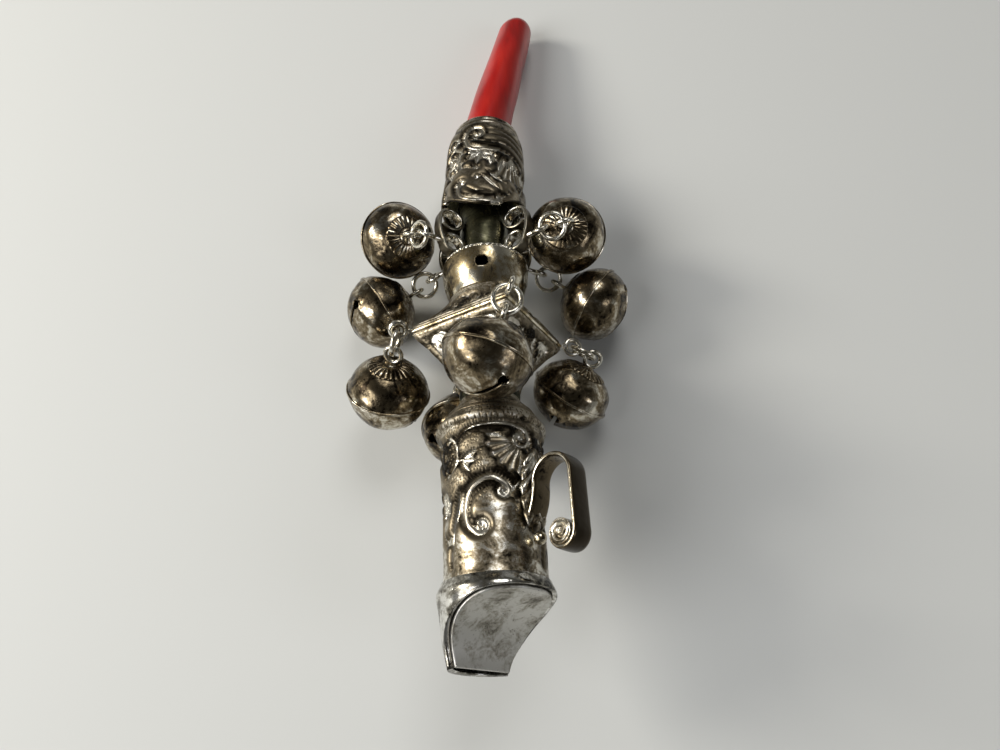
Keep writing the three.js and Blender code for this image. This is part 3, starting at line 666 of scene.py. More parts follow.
    def shell(
        self, centre: Point, facing: float, spread: float, radius: float, ribs: int, height: float
    ) -> None:
        """A scallop shell: ribs that fan from a point to a rim whose radius swells by an eighth at each.

        Args:
            centre: the point that the ribs fan from.
            facing: direction of the middle rib in degrees.
            spread: angle of the whole fan in degrees.
            radius: length of the ribs.
            ribs: number of ribs.
            height: height of the rim.
        """
        near, du, dv = self.near(centre, radius * 1.3)
        rho = np.hypot(du, dv)
        angle = (np.degrees(np.arctan2(dv, du)) - facing + 180) % 360 - 180
        wave = np.abs(np.sin(math.pi * ribs * (angle / spread + 0.5)))
        rim = radius * (1 + 0.12 * wave)
        inside = (np.abs(angle) < spread / 2) & (rho < rim)
        lift = np.clip(rho / rim, 0, 1) ** 0.6 * np.clip((rim - rho) / (0.16 * radius), 0, 1) ** 0.5
        self.raise_to(near, np.where(inside, height * lift * (0.35 + 0.65 * wave), 0))

    def spray(
        self, base: Point, facing: float, spread: float, length: float, leaves: int, height: float
    ) -> None:
        """A spray of leaves with beaded tips that fan from one point, the middle one the longest.

        Args:
            base: the point that they fan from.
            facing: direction of the middle leaf in degrees.
            spread: angle of the whole fan in degrees.
            length: length of the middle leaf.
            leaves: number of leaves.
            height: height of the middle leaf.
        """
        for k in range(leaves):
            share = k / max(leaves - 1, 1) - 0.5
            angle = math.radians(facing + spread * share)
            reach = length * (1 - 0.5 * abs(share))
            tip = np.array(base) + reach * np.array([math.cos(angle), math.sin(angle)])
            self.petal((base, tip), 0.22 * length, height * (1 - 0.3 * abs(share)))
            self.boss(tip, 0.15 * length, height * 0.9)

    def ovals(self, centre: Point, radius: float, rings: int, height: float, squash: float = 1.3) -> None:
        """A rolled leaf end: oval rings one in another, the inner ones higher, about a bead.

        Args:
            centre: the middle of the rings.
            radius: half width of the outermost ring.
            rings: number of rings.
            height: height of the innermost ring.
            squash: height of each oval as a share of its width.
        """
        turn = np.linspace(0, 2 * math.pi, 33)
        for k in range(rings):
            share = (k + 1) / rings
            offset = np.array([0.12 * radius * (1 - share), 0.0])
            oval = np.stack([np.cos(turn), squash * np.sin(turn)], axis=1) * radius * share
            swell = height * (1.15 - 0.4 * share)
            self.ridge(oval + centre + offset, 0.36 * radius / rings, swell, 0.0, False)
        self.boss(centre, radius * 0.26, height * 1.15)

    def band(self, centre: float, width: float, height: float) -> None:
        """A plain half-round moulding right round the piece at a height along it."""
        x = (self.v - centre) / width
        near = np.abs(x) < 1
        self.raise_to(near, height * np.sqrt(1 - x[near] ** 2))

    def blurred(self, reach: int) -> Array:
        """The height averaged twice along each direction over reach places to each side."""
        soft = self.height
        for axis in (0, 0, 1, 1):
            total = sum(np.roll(soft, shift, axis=axis) for shift in range(-reach, reach + 1))
            soft = total / (2 * reach + 1)
        return soft

    def hammered(self, points_per_mm: float, swell: float) -> None:
        """Softens the edges as worn silver's are, and swells the ground under each group of forms."""
        group = self.blurred(max(1, round(0.7 * points_per_mm)))
        self.height = 0.6 * self.height + 0.4 * self.blurred(1) + swell * group

    def hollows(self, points_per_mm: float) -> Array:
        """How deep each place lies below the metal around it, from 0 to 1."""
        soft = self.blurred(max(1, round(0.4 * points_per_mm)))
        return np.clip((soft - self.height) / 0.22, 0, 1)


# The stem's own coordinates


@dataclass
class StemAxes:
    """Where the stem lies: x to the right, y along it from the lip and z away from the floor."""

    tilt_deg: float = 8.5
    rope_station: float = 70.85
    root: Array = field(init=False)
    turn: Array = field(init=False)

    def __post_init__(self) -> None:
        """Finds the stem's axis from the rope rim, a ring whose middle is on it."""
        c, s = math.cos(math.radians(self.tilt_deg)), math.sin(math.radians(self.tilt_deg))
        self.turn = np.array([[1, 0, 0], [0, c, -s], [0, s, c]])
        low, high = (np.array(corner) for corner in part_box("rope_rim"))
        self.root = (low + high) / 2 - self.rope_station * MM * self.turn[1]

    def to_frame(self, points: Array) -> Array:
        """Carries points in millimetres along the stem into the frame in metres."""
        return self.root + (points * MM) @ self.turn

    def round(self, radius: Array, station: Array, angle_deg: Array, aside: Array | float = 0.0) -> Array:
        """Points at a radius, station and angle from up towards the right, moved aside across the radius."""
        c, s = np.cos(np.radians(angle_deg)), np.sin(np.radians(angle_deg))
        return xyz(radius * s + aside * c, station, radius * c - aside * s)

    def skin(self, points: Array, wrap: bool = True, flip: bool = True, marks: dict | None = None) -> Skin:
        """The mesh of a grid of points.

        Args:
            points: rows x columns x 3 points in millimetres along the stem.
            wrap: whether the last column joins the first.
            flip: whether the faces turn from columns to rows.
            marks: its attributes, one value per point.

        Returns:
            The mesh in the frame.
        """
        faces = grid_faces(*points.shape[:2], wrap)
        marks = {name: values.ravel() for name, values in (marks or {}).items()}
        return Skin(self.to_frame(points.reshape(-1, 3)), faces[:, ::-1] if flip else faces, marks)


AXES = StemAxes()


@dataclass
class Turning:
    """A piece turned about the stem's axis, with relief, dents and an optional rule for its section."""

    name: str
    profile: Array
    finish: Finish
    replaces: str = ""
    slot: str = "worn_silver"
    sides: int = 240
    first_deg: float = 0.0
    base: float = 0.0
    wall: float = 0.0
    dent: float = 0.0
    seed: int = 1
    punched: float = 1.0
    soot: float = 0.2
    swell: float = 0.25
    section: Callable[[Array, Array, Array], Array] | None = None
    relief: Callable[[Relief], None] | None = None
    edge: Callable[[Array, Array], Array] | None = None
    opening: Callable[[Array, Array], Array] | None = None
    place: Callable[[Array], Array] | None = None

    def chased(self, y: Array, phi: Array) -> tuple[Array, dict[str, Array]]:
        """Height of the relief and the attributes that its silver needs."""
        mean = float(np.mean(self.profile[:, 0]))
        relief = Relief(np.radians((phi + 180) % 360 - 180) * mean, y, 2 * math.pi * mean)
        self.relief(relief)
        per_mm = self.sides / (2 * math.pi * mean)
        relief.hammered(per_mm, self.swell)
        ground = 1 - relief.smooth
        return relief.height, {
            "hollow": np.clip(0.85 * relief.hollows(per_mm) + self.soot * ground, 0, 1),
            "ground": self.punched * ground,
            "rubbed": np.clip(relief.height / 0.45, 0, 1),
            "across": relief.u,
            "along": relief.v,
        }

    def build(self) -> None:
        """Works the surface out and puts it in the scene."""
        angle = self.first_deg + np.arange(self.sides) * (360 / self.sides)
        r, y, phi = np.broadcast_arrays(self.profile[:, :1], self.profile[:, 1:2], angle)
        if self.section:
            r = self.section(r, y, phi)
        if self.edge:
            y = self.edge(y, phi)
        points = AXES.round(r, y, phi)
        lift, marks = self.chased(y, phi) if self.relief else (np.zeros(r.shape), {})
        if self.dent:
            lift = lift + self.dent * dents(points * MM, 9 * MM, self.seed)
        points = points + outward(points) * lift[..., None] + (0, self.base, 0)
        skin = AXES.skin(self.place(points) if self.place else points, marks=marks)
        if self.opening:
            skin.quads = skin.quads[~self.opening(phi, y).ravel()[skin.quads].all(axis=1)]
        sharp = RELIEF_SHARP_DEG if self.relief else FLAT_SHARP_DEG
        piece(self.name, skin, self.finish, self.replaces, self.wall, sharp_deg=sharp)


def capped(line: Array, rings: Array) -> Array:
    """Closes both ends of a run of rings with the line's end points."""
    first, last = (np.repeat(end[:, None], rings.shape[1], axis=1) for end in (line[:1], line[-1:]))
    return np.concatenate([first, rings, last])


def tube(line: Array, radius: float, sides: int, closed: bool = True) -> Skin:
    """A round wire carried along a line, its section's frame carried with least turn.

    Args:
        line: points of the line.
        radius: radius of the wire.
        sides: points round the wire.
        closed: whether the line is a ring.

    Returns:
        The mesh, in the line's own units.
    """
    way = np.roll(line, -1, axis=0) - np.roll(line, 1, axis=0) if closed else np.gradient(line, axis=0)
    way /= np.linalg.norm(way, axis=1, keepdims=True)
    side = np.zeros_like(line)
    first = np.array([0.3, 0.5, 0.8])
    for k in range(len(line)):
        first = first - way[k] * (first @ way[k])
        first /= np.linalg.norm(first)
        side[k] = first
    other = np.cross(way, side)
    turn = full_turn(sides)[None, :, None]
    points = line[:, None] + radius * (np.cos(turn) * side[:, None] + np.sin(turn) * other[:, None])
    if not closed:
        points = capped(line, points)
    return Skin(points.reshape(-1, 3), grid_faces(len(points), sides, ring=closed))


def stem_tube(line: Array, radius: float, sides: int, closed: bool = True) -> Skin:
    """A wire along a line in the stem's coordinates, carried into the frame."""
    skin = tube(line, radius, sides, closed)
    return Skin(AXES.to_frame(skin.points), skin.quads)


def ring_line(radius: float, count: int, wobble: float, seed: int) -> Array:
    """A slightly uneven ring about the origin, as columns x and y."""
    turn = full_turn(count)
    phase = np.random.default_rng(seed).uniform(0, 6)
    r = radius * (1 + wobble * np.sin(2 * turn + phase) + wobble * 0.5 * np.sin(3 * turn + 1))
    return np.stack([r * np.cos(turn), r * np.sin(turn)], axis=1)


# Stem pieces


@dataclass
class CoralStick:
    """The branch of red coral: its socket end straight, the rest leaning with a gentle bend."""

    length: float = 45.6
    base_radius: float = 5.1
    tip_radius: float = 3.8
    seat_depth: float = 7.2
    lean_deg: float = 10.0
    ferrule_lean_deg: float = 3.5
    ferrule_base: float = 85.4
    ferrule_length: float = 19.8
    sides: int = 96

    def leaning(self, points: Array) -> Array:
        """Leans points of the ferrule's own frame to the right about its foot."""
        lean = math.radians(self.ferrule_lean_deg)
        x = points[..., 0] * math.cos(lean) + points[..., 1] * math.sin(lean)
        y = -points[..., 0] * math.sin(lean) + points[..., 1] * math.cos(lean)
        return xyz(x, y + self.ferrule_base, points[..., 2])

    def build(self) -> None:
        """A turning whose radius falls from base to tip, with long shallow undulations, then bent."""
        straight = self.length - self.tip_radius
        shaft = np.linspace(0, straight, 110)
        radius = self.base_radius + (self.tip_radius - self.base_radius) * (shaft / straight) ** 1.3
        dome = np.radians(np.linspace(0, 90, 18))[1:]
        r = np.concatenate([[0], radius, self.tip_radius * np.cos(dome)])[:, None]
        y = np.concatenate([[0], shaft, straight + self.tip_radius * np.sin(dome)])[:, None]
        points = AXES.round(r, y, np.arange(self.sides) * (360 / self.sides))
        uneven = 0.1 * dents(points * MM * np.array([1, 0.4, 1]), 7 * MM, 5)
        points[..., ::2] *= (1 + uneven / 5)[..., None]
        past = np.maximum(0, points[..., 1] - self.seat_depth)
        points[..., 0] += past * math.tan(math.radians(self.lean_deg)) * (past / (past + self.tip_radius))
        points[..., 1] += self.ferrule_length - self.seat_depth
        skin = AXES.skin(self.leaning(points))
        piece("coral_branch", skin, Finish.CORAL, "coral_stick")


FERRULE_FORMS = (
    (Relief.scroll, [(-4.0, 13.0), (-3.2, 10.9), (-0.7, 9.7), (3.4, 9.5), (8.6, 8.8)],
     (-2.4, 0.0), 1.0, 0.85, 1.25),
    (Relief.rib, [(-2.6, 12.0), (0.6, 11.3), (4.4, 11.5), (9.2, 10.8)], 0.45, 0.6),
    (Relief.rib, [(0.2, 13.2), (4.0, 13.2), (9.0, 12.4)], 0.4, 0.5),
    (Relief.rib, [(1.0, 14.8), (4.2, 14.7), (8.4, 13.9)], 0.36, 0.42),
    (Relief.scroll, [(-9.4, 13.6), (-8.0, 15.0), (-6.0, 14.2)], (0.9, -0.9), 0.6, 0.6),
    (Relief.scroll, [(-8.8, 10.2), (-7.2, 11.6), (-5.0, 10.4)], (1.0, -1.2), 0.75, 0.8),
    (Relief.petal, [(-8.8, 12.8), (-4.6, 12.6)], 0.8, 0.6),
    (Relief.shell, (-4.4, 8.6), 215, 130, 3.8, 5, 0.75),
    (Relief.petal, [(-8.6, 8.6), (-8.2, 4.4)], 0.9, 0.6),
    (Relief.spray, (-0.6, 9.0), -100, 160, 4.4, 5, 0.8),
    (Relief.petal, [(2.6, 9.0), (1.0, 4.2)], 1.0, 0.7),
    (Relief.petal, [(4.4, 8.8), (2.8, 3.2)], 0.9, 0.65),
    (Relief.shell, (5.6, 8.6), -76, 96, 6.4, 6, 0.95),
    (Relief.scroll, [(-1.4, 3.8), (-4.0, 4.9), (-6.6, 3.9)], (0.6, -0.9), 0.55, 0.6),
    (Relief.scroll, [(-5.0, 0.4), (-4.3, -2.0), (-2.0, -3.5), (0.8, -4.1), (3.4, -3.6)],
     (-1.1, 0.6), 0.95, 0.9),
    (Relief.rib, [(-2.8, -0.6), (-1.0, -1.9), (1.6, -2.2)], 0.4, 0.5),
    (Relief.boss, (-1.0, 1.4), 0.8, 0.6),
    (Relief.petal, [(-0.4, 2.4), (3.6, -1.4)], 0.95, 0.65),
    (Relief.petal, [(0.6, 3.4), (4.8, 0.6)], 0.8, 0.6),
    (Relief.boss, (4.2, -2.6), 0.6, 0.55),
    (Relief.boss, (5.0, -1.5), 0.6, 0.55),
    (Relief.boss, (5.6, -0.4), 0.6, 0.55),
    (Relief.scroll, [(-6.4, 3.0), (-8.8, 2.8), (-9.6, 1.0)], (0.0, 1.1), 0.75, 0.8),
    (Relief.scroll, [(8.6, 0.8), (9.8, 3.2), (11.1, 4.8)], (-0.9, -0.8), 0.6, 0.7),
    (Relief.spray, (11.2, 8.4), -90, 100, 4.2, 4, 0.65),
    (Relief.scroll, [(10.2, 15.6), (11.6, 14.2), (11.4, 11.4)], (0.9, 0.9), 0.6, 0.6),
)


@dataclass
class Ferrule:
    """The chased silver ferrule that grips the coral, with a scrolled lower edge."""

    lobe_depth: float = 5.2
    lobe_top: float = 6.0
    edge_step: float = 0.11
    step: float = 0.18

    def relief(self, relief: Relief) -> None:
        """Front and back alike: a long double scroll, curls, leaves, a shell and the scroll of the edge."""
        for k in range(2):
            relief.draw(FERRULE_FORMS, k * relief.period / 2)
        relief.band(17.4, 0.4, 0.25)

    def edge(self, y: Array, phi: Array) -> Array:
        """Lets the lower rows hang in a broad lobe in front and one behind, by the cosine squared."""
        low = np.clip((self.lobe_top - y) / self.lobe_top, 0, 1)
        return y - low * self.lobe_depth * np.cos(np.radians(phi)) ** 2

    def build(self) -> None:
        """Turns the ferrule, its rim and the floor round the neck."""
        place = CoralStick().leaning
        outline = [(7.75, 0.0), (7.85, 1.6), (7.5, 4.8), (7.5, 8.0), (7.5, 12.3), (7.2, 15.8), (6.4, 18.4)]
        profile = rounded(outline, 1.2, 6)
        low = profile[:, 1] < 6.4
        profile = np.concatenate([filled(profile[low], self.edge_step), filled(profile[~low], self.step)])
        Turning(
            "chased_ferrule", profile, Finish.CHASED, "coral_ferrule", sides=290, wall=SHEET_WALL, dent=0.03,
            relief=self.relief, edge=self.edge, place=place, punched=0.0, soot=0.36, swell=0.35,
        ).build()
        rim = [(5.5, 17.9), (6.5, 18.3), (6.85, 18.6), (6.85, 19.3), (6.5, 19.7), (5.6, 19.8), (5.45, 19.4),
               (5.5, 17.9)]
        Turning("ferrule_rim", rounded(rim, 0.25, 5), Finish.CHASED, sides=120, place=place).build()
        floor = rounded([(7.3, 1.3), (7.3, 0.5), (5.0, 0.3), (5.0, 1.0), (7.3, 1.3)], 0.15, 3)
        Turning("ferrule_floor", floor, Finish.TARNISHED, sides=90, place=place).build()


@dataclass
class Knop:
    """The vented knop: a plain domed bowl with a rope rim, and the neck tube that rises from it."""

    base: float = 63.5
    height: float = 6.6
    foot_radius: float = 5.8
    rim_radius: float = 7.45
    vent_radius: float = 1.05
    vent_reach: float = 2.6
    vent_deg: float = -4.0
    vent_height: float = 3.6
    vent_wall: float = 7.3
    rope_turns: int = 60
    rope_lay: float = 0.14
    rope_wire: float = 0.2
    neck_radius: float = 4.65
    neck_bore: float = 4.1
    neck_top: float = 87.6
    sides: int = 220

    def build_bowl(self) -> None:
        """The bowl as a grid whose points near the vent are drawn out to the hole's edge.

        A place at distance d from the hole's middle moves to hole + d * (1 - hole / reach) while d is less
        than reach, so the middle opens into a round hole and the rest stays.
        """
        share = np.linspace(0, 1, 64)
        bulge = self.foot_radius + (self.rim_radius - self.foot_radius) * np.sin(math.pi / 2 * share) ** 0.8
        phi = np.arange(self.sides) * (360 / self.sides)
        u = np.radians((phi - self.vent_deg + 180) % 360 - 180)[None, :] * self.vent_wall
        v = (share * self.height - self.vent_height)[:, None]
        d = np.hypot(u, v)
        drawn = self.vent_radius + d * (1 - self.vent_radius / self.vent_reach)
        grow = np.where(d < self.vent_reach, drawn / np.maximum(d, 1e-6), 1)
        y = v * grow + self.vent_height
        radius = np.interp(y, share * self.height, bulge)
        points = AXES.round(radius, y + self.base, np.degrees(u * grow / self.vent_wall) + self.vent_deg)
        points = points + outward(points) * (0.06 * dents(points * MM, 8 * MM, 12))[..., None]
        skin = AXES.skin(points)
        skin.quads = skin.quads[~(d < 0.12).ravel()[skin.quads].any(axis=1)]
        piece("plain_knop", skin, Finish.POLISHED, "vented_knop", SHEET_WALL)

    def build(self) -> None:
        """Bowl, lid, rope rim and neck."""
        self.build_bowl()
        top = self.base + self.height
        lid = [(7.3, top - 0.5), (7.3, top - 0.02), (6.2, top + 0.12), (4.2, top + 0.12), (4.2, top - 0.5),
               (7.3, top - 0.5)]
        Turning("knop_lid", rounded(lid, 0.2, 4), Finish.TARNISHED, sides=120).build()
        turn = full_turn(720)
        strands = []
        for start in (0, math.pi):
            twist = self.rope_turns * turn + start
            r = self.rim_radius + 0.02 + self.rope_lay * np.cos(twist)
            y = top + 0.62 + self.rope_lay * np.sin(twist)
            strands.append(stem_tube(xyz(r * np.sin(turn), y, r * np.cos(turn)), self.rope_wire, 7))
        piece("rope_wire", strands[0].joined(strands[1]), Finish.WIRE, "rope_rim")
        radius, bore = self.neck_radius, self.neck_bore
        neck = [(bore, top + 0.3), (5.1, top + 0.3), (5.1, top + 0.9), (radius, top + 1.5), (radius, 84.0),
                (4.8, self.neck_top), (bore, self.neck_top), (bore, top + 0.3)]
        Turning(
            "neck_pipe", filled(rounded(neck, 0.35, 6), 0.5), Finish.TARNISHED, "neck_tube",
            "tarnished_silver", sides=120, dent=0.05, seed=4,
        ).build()


@dataclass
class Canopy:
    """The square canopy: two concave chased roofs on a moulded square edge, corners at 15 degrees."""

    turn: float = 15.0
    corner: float = 13.4
    lower_base: float = 44.5
    lower_height: float = 10.4
    edge_base: float = 54.7
    upper_base: float = 55.7
    upper_height: float = 7.5
    waist_radius: float = 4.9
    throat_radius: float = 6.0
    bulge: float = 1.25
    hollow: float = 0.6

    def squared(self, r: Array, phi: Array, k: Array | float) -> Array:
        """Blends a circle of radius r into a square with its corners at r, by the share k."""
        past = np.radians((phi - self.turn) % 90) - math.pi / 4
        return r * (1 - k) + k * r * math.sqrt(0.5) / np.cos(past)

    def half(self, share: Array, throat: float) -> Array:
        """Corner radius of a roof at the shares of its height from throat to edge, less room for relief."""
        flare = throat + (self.corner - throat) * share ** self.bulge
        return flare - self.hollow * np.sin(math.pi * np.clip(share, 0, 1))

    def facets(self, relief: Relief, height: float, upper: bool) -> None:
        """On each face: a rolled leaf between scrolls and sprays of leaves, with ribs along the corners."""
        side = relief.period / 4
        mean = relief.period / (2 * math.pi)
        way = 1 if upper else -1

        def at(across: float, above: float) -> tuple[float, float]:
            """A place across from a face's middle and above the edge."""
            return (u + across, above if upper else height - above)

        for k in range(4):
            u = math.radians(self.turn + 45 + 90 * k) * mean
            u = (u + relief.period / 2) % relief.period - relief.period / 2
            relief.ovals(at(0, 2.9), 1.7, 3, 0.75, 1.25)
            for s in (-1, 1):
                path = [at(s * 0.4, 5.4), at(s * 2.2, 5.3), at(s * 3.4, 4.0)]
                relief.scroll(path, (s * way * 0.5, s * way * -0.8), 0.5, 0.6)
                relief.petal((at(s * 1.9, 1.0), at(s * 2.3, 3.9)), 0.75, 0.6)
                relief.spray(at(s * side * 0.34, 1.0), 90 * way - s * 10, 110, 2.8, 4, 0.65)
                relief.boss(at(s * side * 0.34, 4.2), 0.6, 0.5)
                for gap in (s * side * 0.41, s * side * 0.445):
                    relief.ridge(np.array([at(gap, 1.3), at(gap, height * 0.8)]), 0.22, 0.35, 0)
            if not upper:
                relief.spray(at(0, 6.6), 90 * way, 120, 2.6, 3, 0.5)
        relief.band(at(0, 0.3)[1], 0.28, 0.22)

    def roof(self, name: str, replaces: str, base: float, height: float, throat: float, upper: bool) -> None:
        """One roof, round at its throat and square at the edge.

        Args:
            name: the piece's name.
            replaces: the CAD node.
            base: station of its foot.
            height: its height.
            throat: radius at the throat.
            upper: whether it narrows upwards.
        """
        def towards_edge(share: Array) -> Array:
            """Turns a share of the height into the share from throat to edge."""
            return 1 - share if upper else share

        rise = np.linspace(0, 1, 76)
        profile = np.stack([self.half(towards_edge(rise), throat), rise * height], axis=1)
        Turning(
            name, profile, Finish.CHASED, replaces, sides=300, first_deg=self.turn, base=base,
            wall=SHEET_WALL, dent=0.03, relief=lambda relief: self.facets(relief, height, upper),
            section=lambda r, y, phi: self.squared(r, phi, np.clip(towards_edge(y / height), 0, 1) ** 0.6),
        ).build()

    def build(self) -> None:
        """Both roofs and the edge."""
        for side, base, height, throat in (
            ("lower", self.lower_base, self.lower_height, self.waist_radius),
            ("upper", self.upper_base, self.upper_height, self.throat_radius),
        ):
            self.roof(f"canopy_{side}_roof", f"canopy_{side}", base, height, throat, side == "upper")
        edge = [(12.6, 0.2), (13.5, 0.2), (13.75, 0.35), (13.8, 0.6), (13.75, 0.85), (13.5, 1.0), (12.6, 1.0),
                (12.6, 0.2)]
        Turning(
            "canopy_moulding", rounded(edge, 0.12, 4) + (0.0, self.edge_base), Finish.POLISHED, "canopy_edge",
            first_deg=self.turn, section=lambda r, y, phi: self.squared(r, phi, 1.0),
        ).build()


BARREL_FORMS = (
    (Relief.ovals, (-8.0, 30.6), 2.2, 3, 0.75),
    (Relief.scroll, [(-6.4, 33.4), (-5.4, 31.4), (-5.6, 28.8), (-7.4, 27.2)], (0.6, -0.6), 0.5, 0.6),
    (Relief.petal, [(-5.0, 29.2), (-1.3, 30.5)], 0.85, 0.7),
    (Relief.petal, [(-5.0, 29.2), (-1.6, 28.5)], 0.85, 0.7),
    (Relief.petal, [(-5.0, 29.2), (-3.0, 26.6)], 0.85, 0.7),
    (Relief.rib, [(-5.2, 31.6), (-3.0, 32.9), (2.0, 33.2)], 0.34, 0.5),
    (Relief.scroll, [(-5.8, 32.6), (-3.2, 34.2), (1.0, 34.6), (4.8, 34.4)], (0.0, -2.0), 0.75, 0.85, 1.5),
    (Relief.shell, (4.6, 31.6), -142, 120, 5.2, 6, 0.9),
    (Relief.scroll, [(2.2, 24.8), (-0.4, 25.9), (-3.2, 24.6), (-4.6, 21.8), (-4.3, 19.2), (-2.9, 17.6)],
     (-1.3, 1.4), 1.0, 0.95, 1.4),
    (Relief.rib, [(-0.2, 24.3), (-2.2, 23.4), (-3.3, 21.4), (-3.1, 19.8)], 0.38, 0.55),
    (Relief.rib, [(-5.3, 24.8), (-6.0, 21.6), (-6.9, 18.0), (-7.4, 14.6), (-7.2, 12.9)], 0.85, 0.75),
    (Relief.spray, (-9.4, 25.6), -90, 70, 4.4, 4, 0.7),
    (Relief.scroll, [(-9.2, 22.0), (-10.2, 19.6), (-9.0, 17.2)], (-0.9, 0.8), 0.65, 0.7),
    (Relief.boss, (3.6, 22.2), 0.65, 0.6),
    (Relief.spray, (4.6, 25.8), -80, 80, 3.4, 3, 0.65),
)


@dataclass
class Whistle:
    """The whistle barrel with its roof, cove and collar, and the waist above it."""

    barrel_base: float = 11.5
    plain_top: float = 23.5
    radius: float = 7.85
    roof_base: float = 35.8
    roof_leaves: int = 12
    window_deg: float = 224.0
    window_width: float = 5.0
    window_height: float = 3.0
    window_base: float = 3.2

    def barrel_relief(self, relief: Relief) -> None:
        """Three times round: rolled leaf and lilies, volute with shell, a great C-scroll and a long strap."""
        for k in range(3):
            relief.draw(BARREL_FORMS, k * (relief.period / 3), -self.barrel_base)
        plain = np.clip((self.plain_top - self.barrel_base - relief.v) / 1.5, 0, 1)
        relief.smooth = np.maximum(relief.smooth, plain)

    def window(self, phi: Array, y: Array) -> Array:
        """Where the whistle's window is cut through the barrel."""
        across = np.radians((phi - self.window_deg + 180) % 360 - 180) * self.radius
        above = y - self.window_base - self.window_height / 2
        return (np.abs(across) < self.window_width / 2) & (np.abs(above) < self.window_height / 2)

    def roof_relief(self, relief: Relief) -> None:
        """Concentric mouldings and a ring of small leaves on the sloping roof."""
        for centre, width, height in ((0.75, 0.22, 0.2), (2.0, 0.25, 0.3), (2.8, 0.2, 0.25)):
            relief.band(centre, width, height)
        for k in range(self.roof_leaves):
            u = k * (relief.period / self.roof_leaves)
            relief.petal(((u, 3.2), (u, 5.4)), 0.8, 0.25)

    def build(self) -> None:
        """Barrel, drawn in towards the foot where the beak flares from it, roof and waist."""
        barrel = [(7.45, 0.0), (7.3, 1.0), (7.3, 3.0), (7.5, 10.0), (7.85, 17.0), (8.15, 23.6), (7.95, 24.0)]
        Turning(
            "chased_barrel", filled(rounded(barrel, 1.0, 8), 0.18), Finish.CHASED, "whistle_barrel",
            sides=310, base=self.barrel_base, wall=SHEET_WALL, dent=0.05, seed=3, relief=self.barrel_relief,
            opening=self.window,
        ).build()
        roof = [(7.9, 0.0), (8.4, 0.1), (8.6, 0.45), (8.1, 1.1), (6.6, 3.4), (5.0, 5.0), (4.4, 6.2)]
        Turning(
            "whistle_shoulder", filled(rounded(roof, 0.3, 6), 0.15), Finish.CHASED, "whistle_roof", sides=260,
            base=self.roof_base, wall=SHEET_WALL, dent=0.04, seed=7, relief=self.roof_relief,
        ).build()
        waist = [(3.4, 42.2), (4.7, 42.2), (5.2, 42.7), (5.2, 43.8), (4.7, 44.4), (3.4, 44.4), (3.4, 42.2)]
        Turning(
            "waist_ring", rounded(waist, 0.35, 5), Finish.TARNISHED, "waist_collar", "tarnished_silver", 120
        ).build()


@dataclass
class Beak:
    """The mouthpiece: a collar and a beak whose near side is cut away in a hollow curve."""

    turn: float = 44.0
    lip_radius: float = 6.5
    beak_radius: float = 7.4
    collar_radius: float = 8.3
    collar_low: float = 9.7
    length: float = 11.2
    lip_thickness: float = 2.6
    plate_gap: float = 0.12
    plate_inset: float = 0.05
    wall: float = 0.9
    sides: int = 260

    def outer(self, y: Array) -> Array:
        """Radius of the turned form at a height."""
        line = rounded([(0.0, self.lip_radius), (4.4, self.beak_radius), (8.2, 7.8), (9.7, 8.1), (10.1, 7.95),
                        (10.75, 7.6), (self.length, 7.45)], 0.7, 8)
        return np.interp(y, line[:, 0], line[:, 1])

    def cut(self, o: Array) -> Array:
        """Height of the cut at a distance o across it: a quarter ellipse, level with the lip's flat at 0."""
        reach = self.collar_radius - (self.lip_thickness - self.lip_radius)
        x = np.clip((self.collar_radius - o) / reach, 0, 1)
        return self.collar_low * np.sqrt(np.clip(1 - x ** 2, 0, 1))

    def build(self) -> None:
        """The shell, whose rows run from the cut's edge up to the collar, and the plate in the cut.

        The edge at an angle is where the turned form meets the cut, found by a few fixed-point steps.
        """
        phi = full_turn(self.sides)
        edge = np.zeros(self.sides)
        for _ in range(60):
            edge = 0.5 * edge + 0.5 * self.cut(self.outer(edge) * np.cos(phi))
        share = np.linspace(0, 1, 84)[:, None]
        y = edge + (self.length - edge) * share
        r = self.outer(y)
        points = xyz(r * np.sin(phi), y, r * np.cos(phi))
        lift = 0.06 * dents(points * MM, 7 * MM, 21) * np.clip(share * 6, 0, 1)
        points = points + outward(points) * lift[..., None]
        skin = AXES.skin(spun(points, self.turn))
        piece("beak_shell", skin, Finish.MOUTHED, "whistle_mouthpiece", self.wall)
        self.build_plate()

    def build_plate(self) -> None:
        """The plate: rulings across the cut's curve, each as wide as the turned form there."""
        reach = self.collar_radius - (self.lip_thickness - self.lip_radius)
        t = np.radians(np.linspace(0, 88, 90))
        o = self.collar_radius - reach * np.cos(t)
        y = self.collar_low * np.sin(t)
        r = self.outer(y) - self.plate_inset
        keep = o < r - 0.02
        o, y, r = (values[keep][:, None] for values in (o, y + self.plate_gap, r))
        x = np.sqrt(np.clip(r ** 2 - o ** 2, 0.01, None)) * np.linspace(-1, 1, 60)
        skin = AXES.skin(spun(xyz(x, y, o), self.turn), wrap=False)
        piece("beak_plate_sheet", skin, Finish.SATIN, "beak_plate", SHEET_WALL)


# Straps: the handle and the brackets


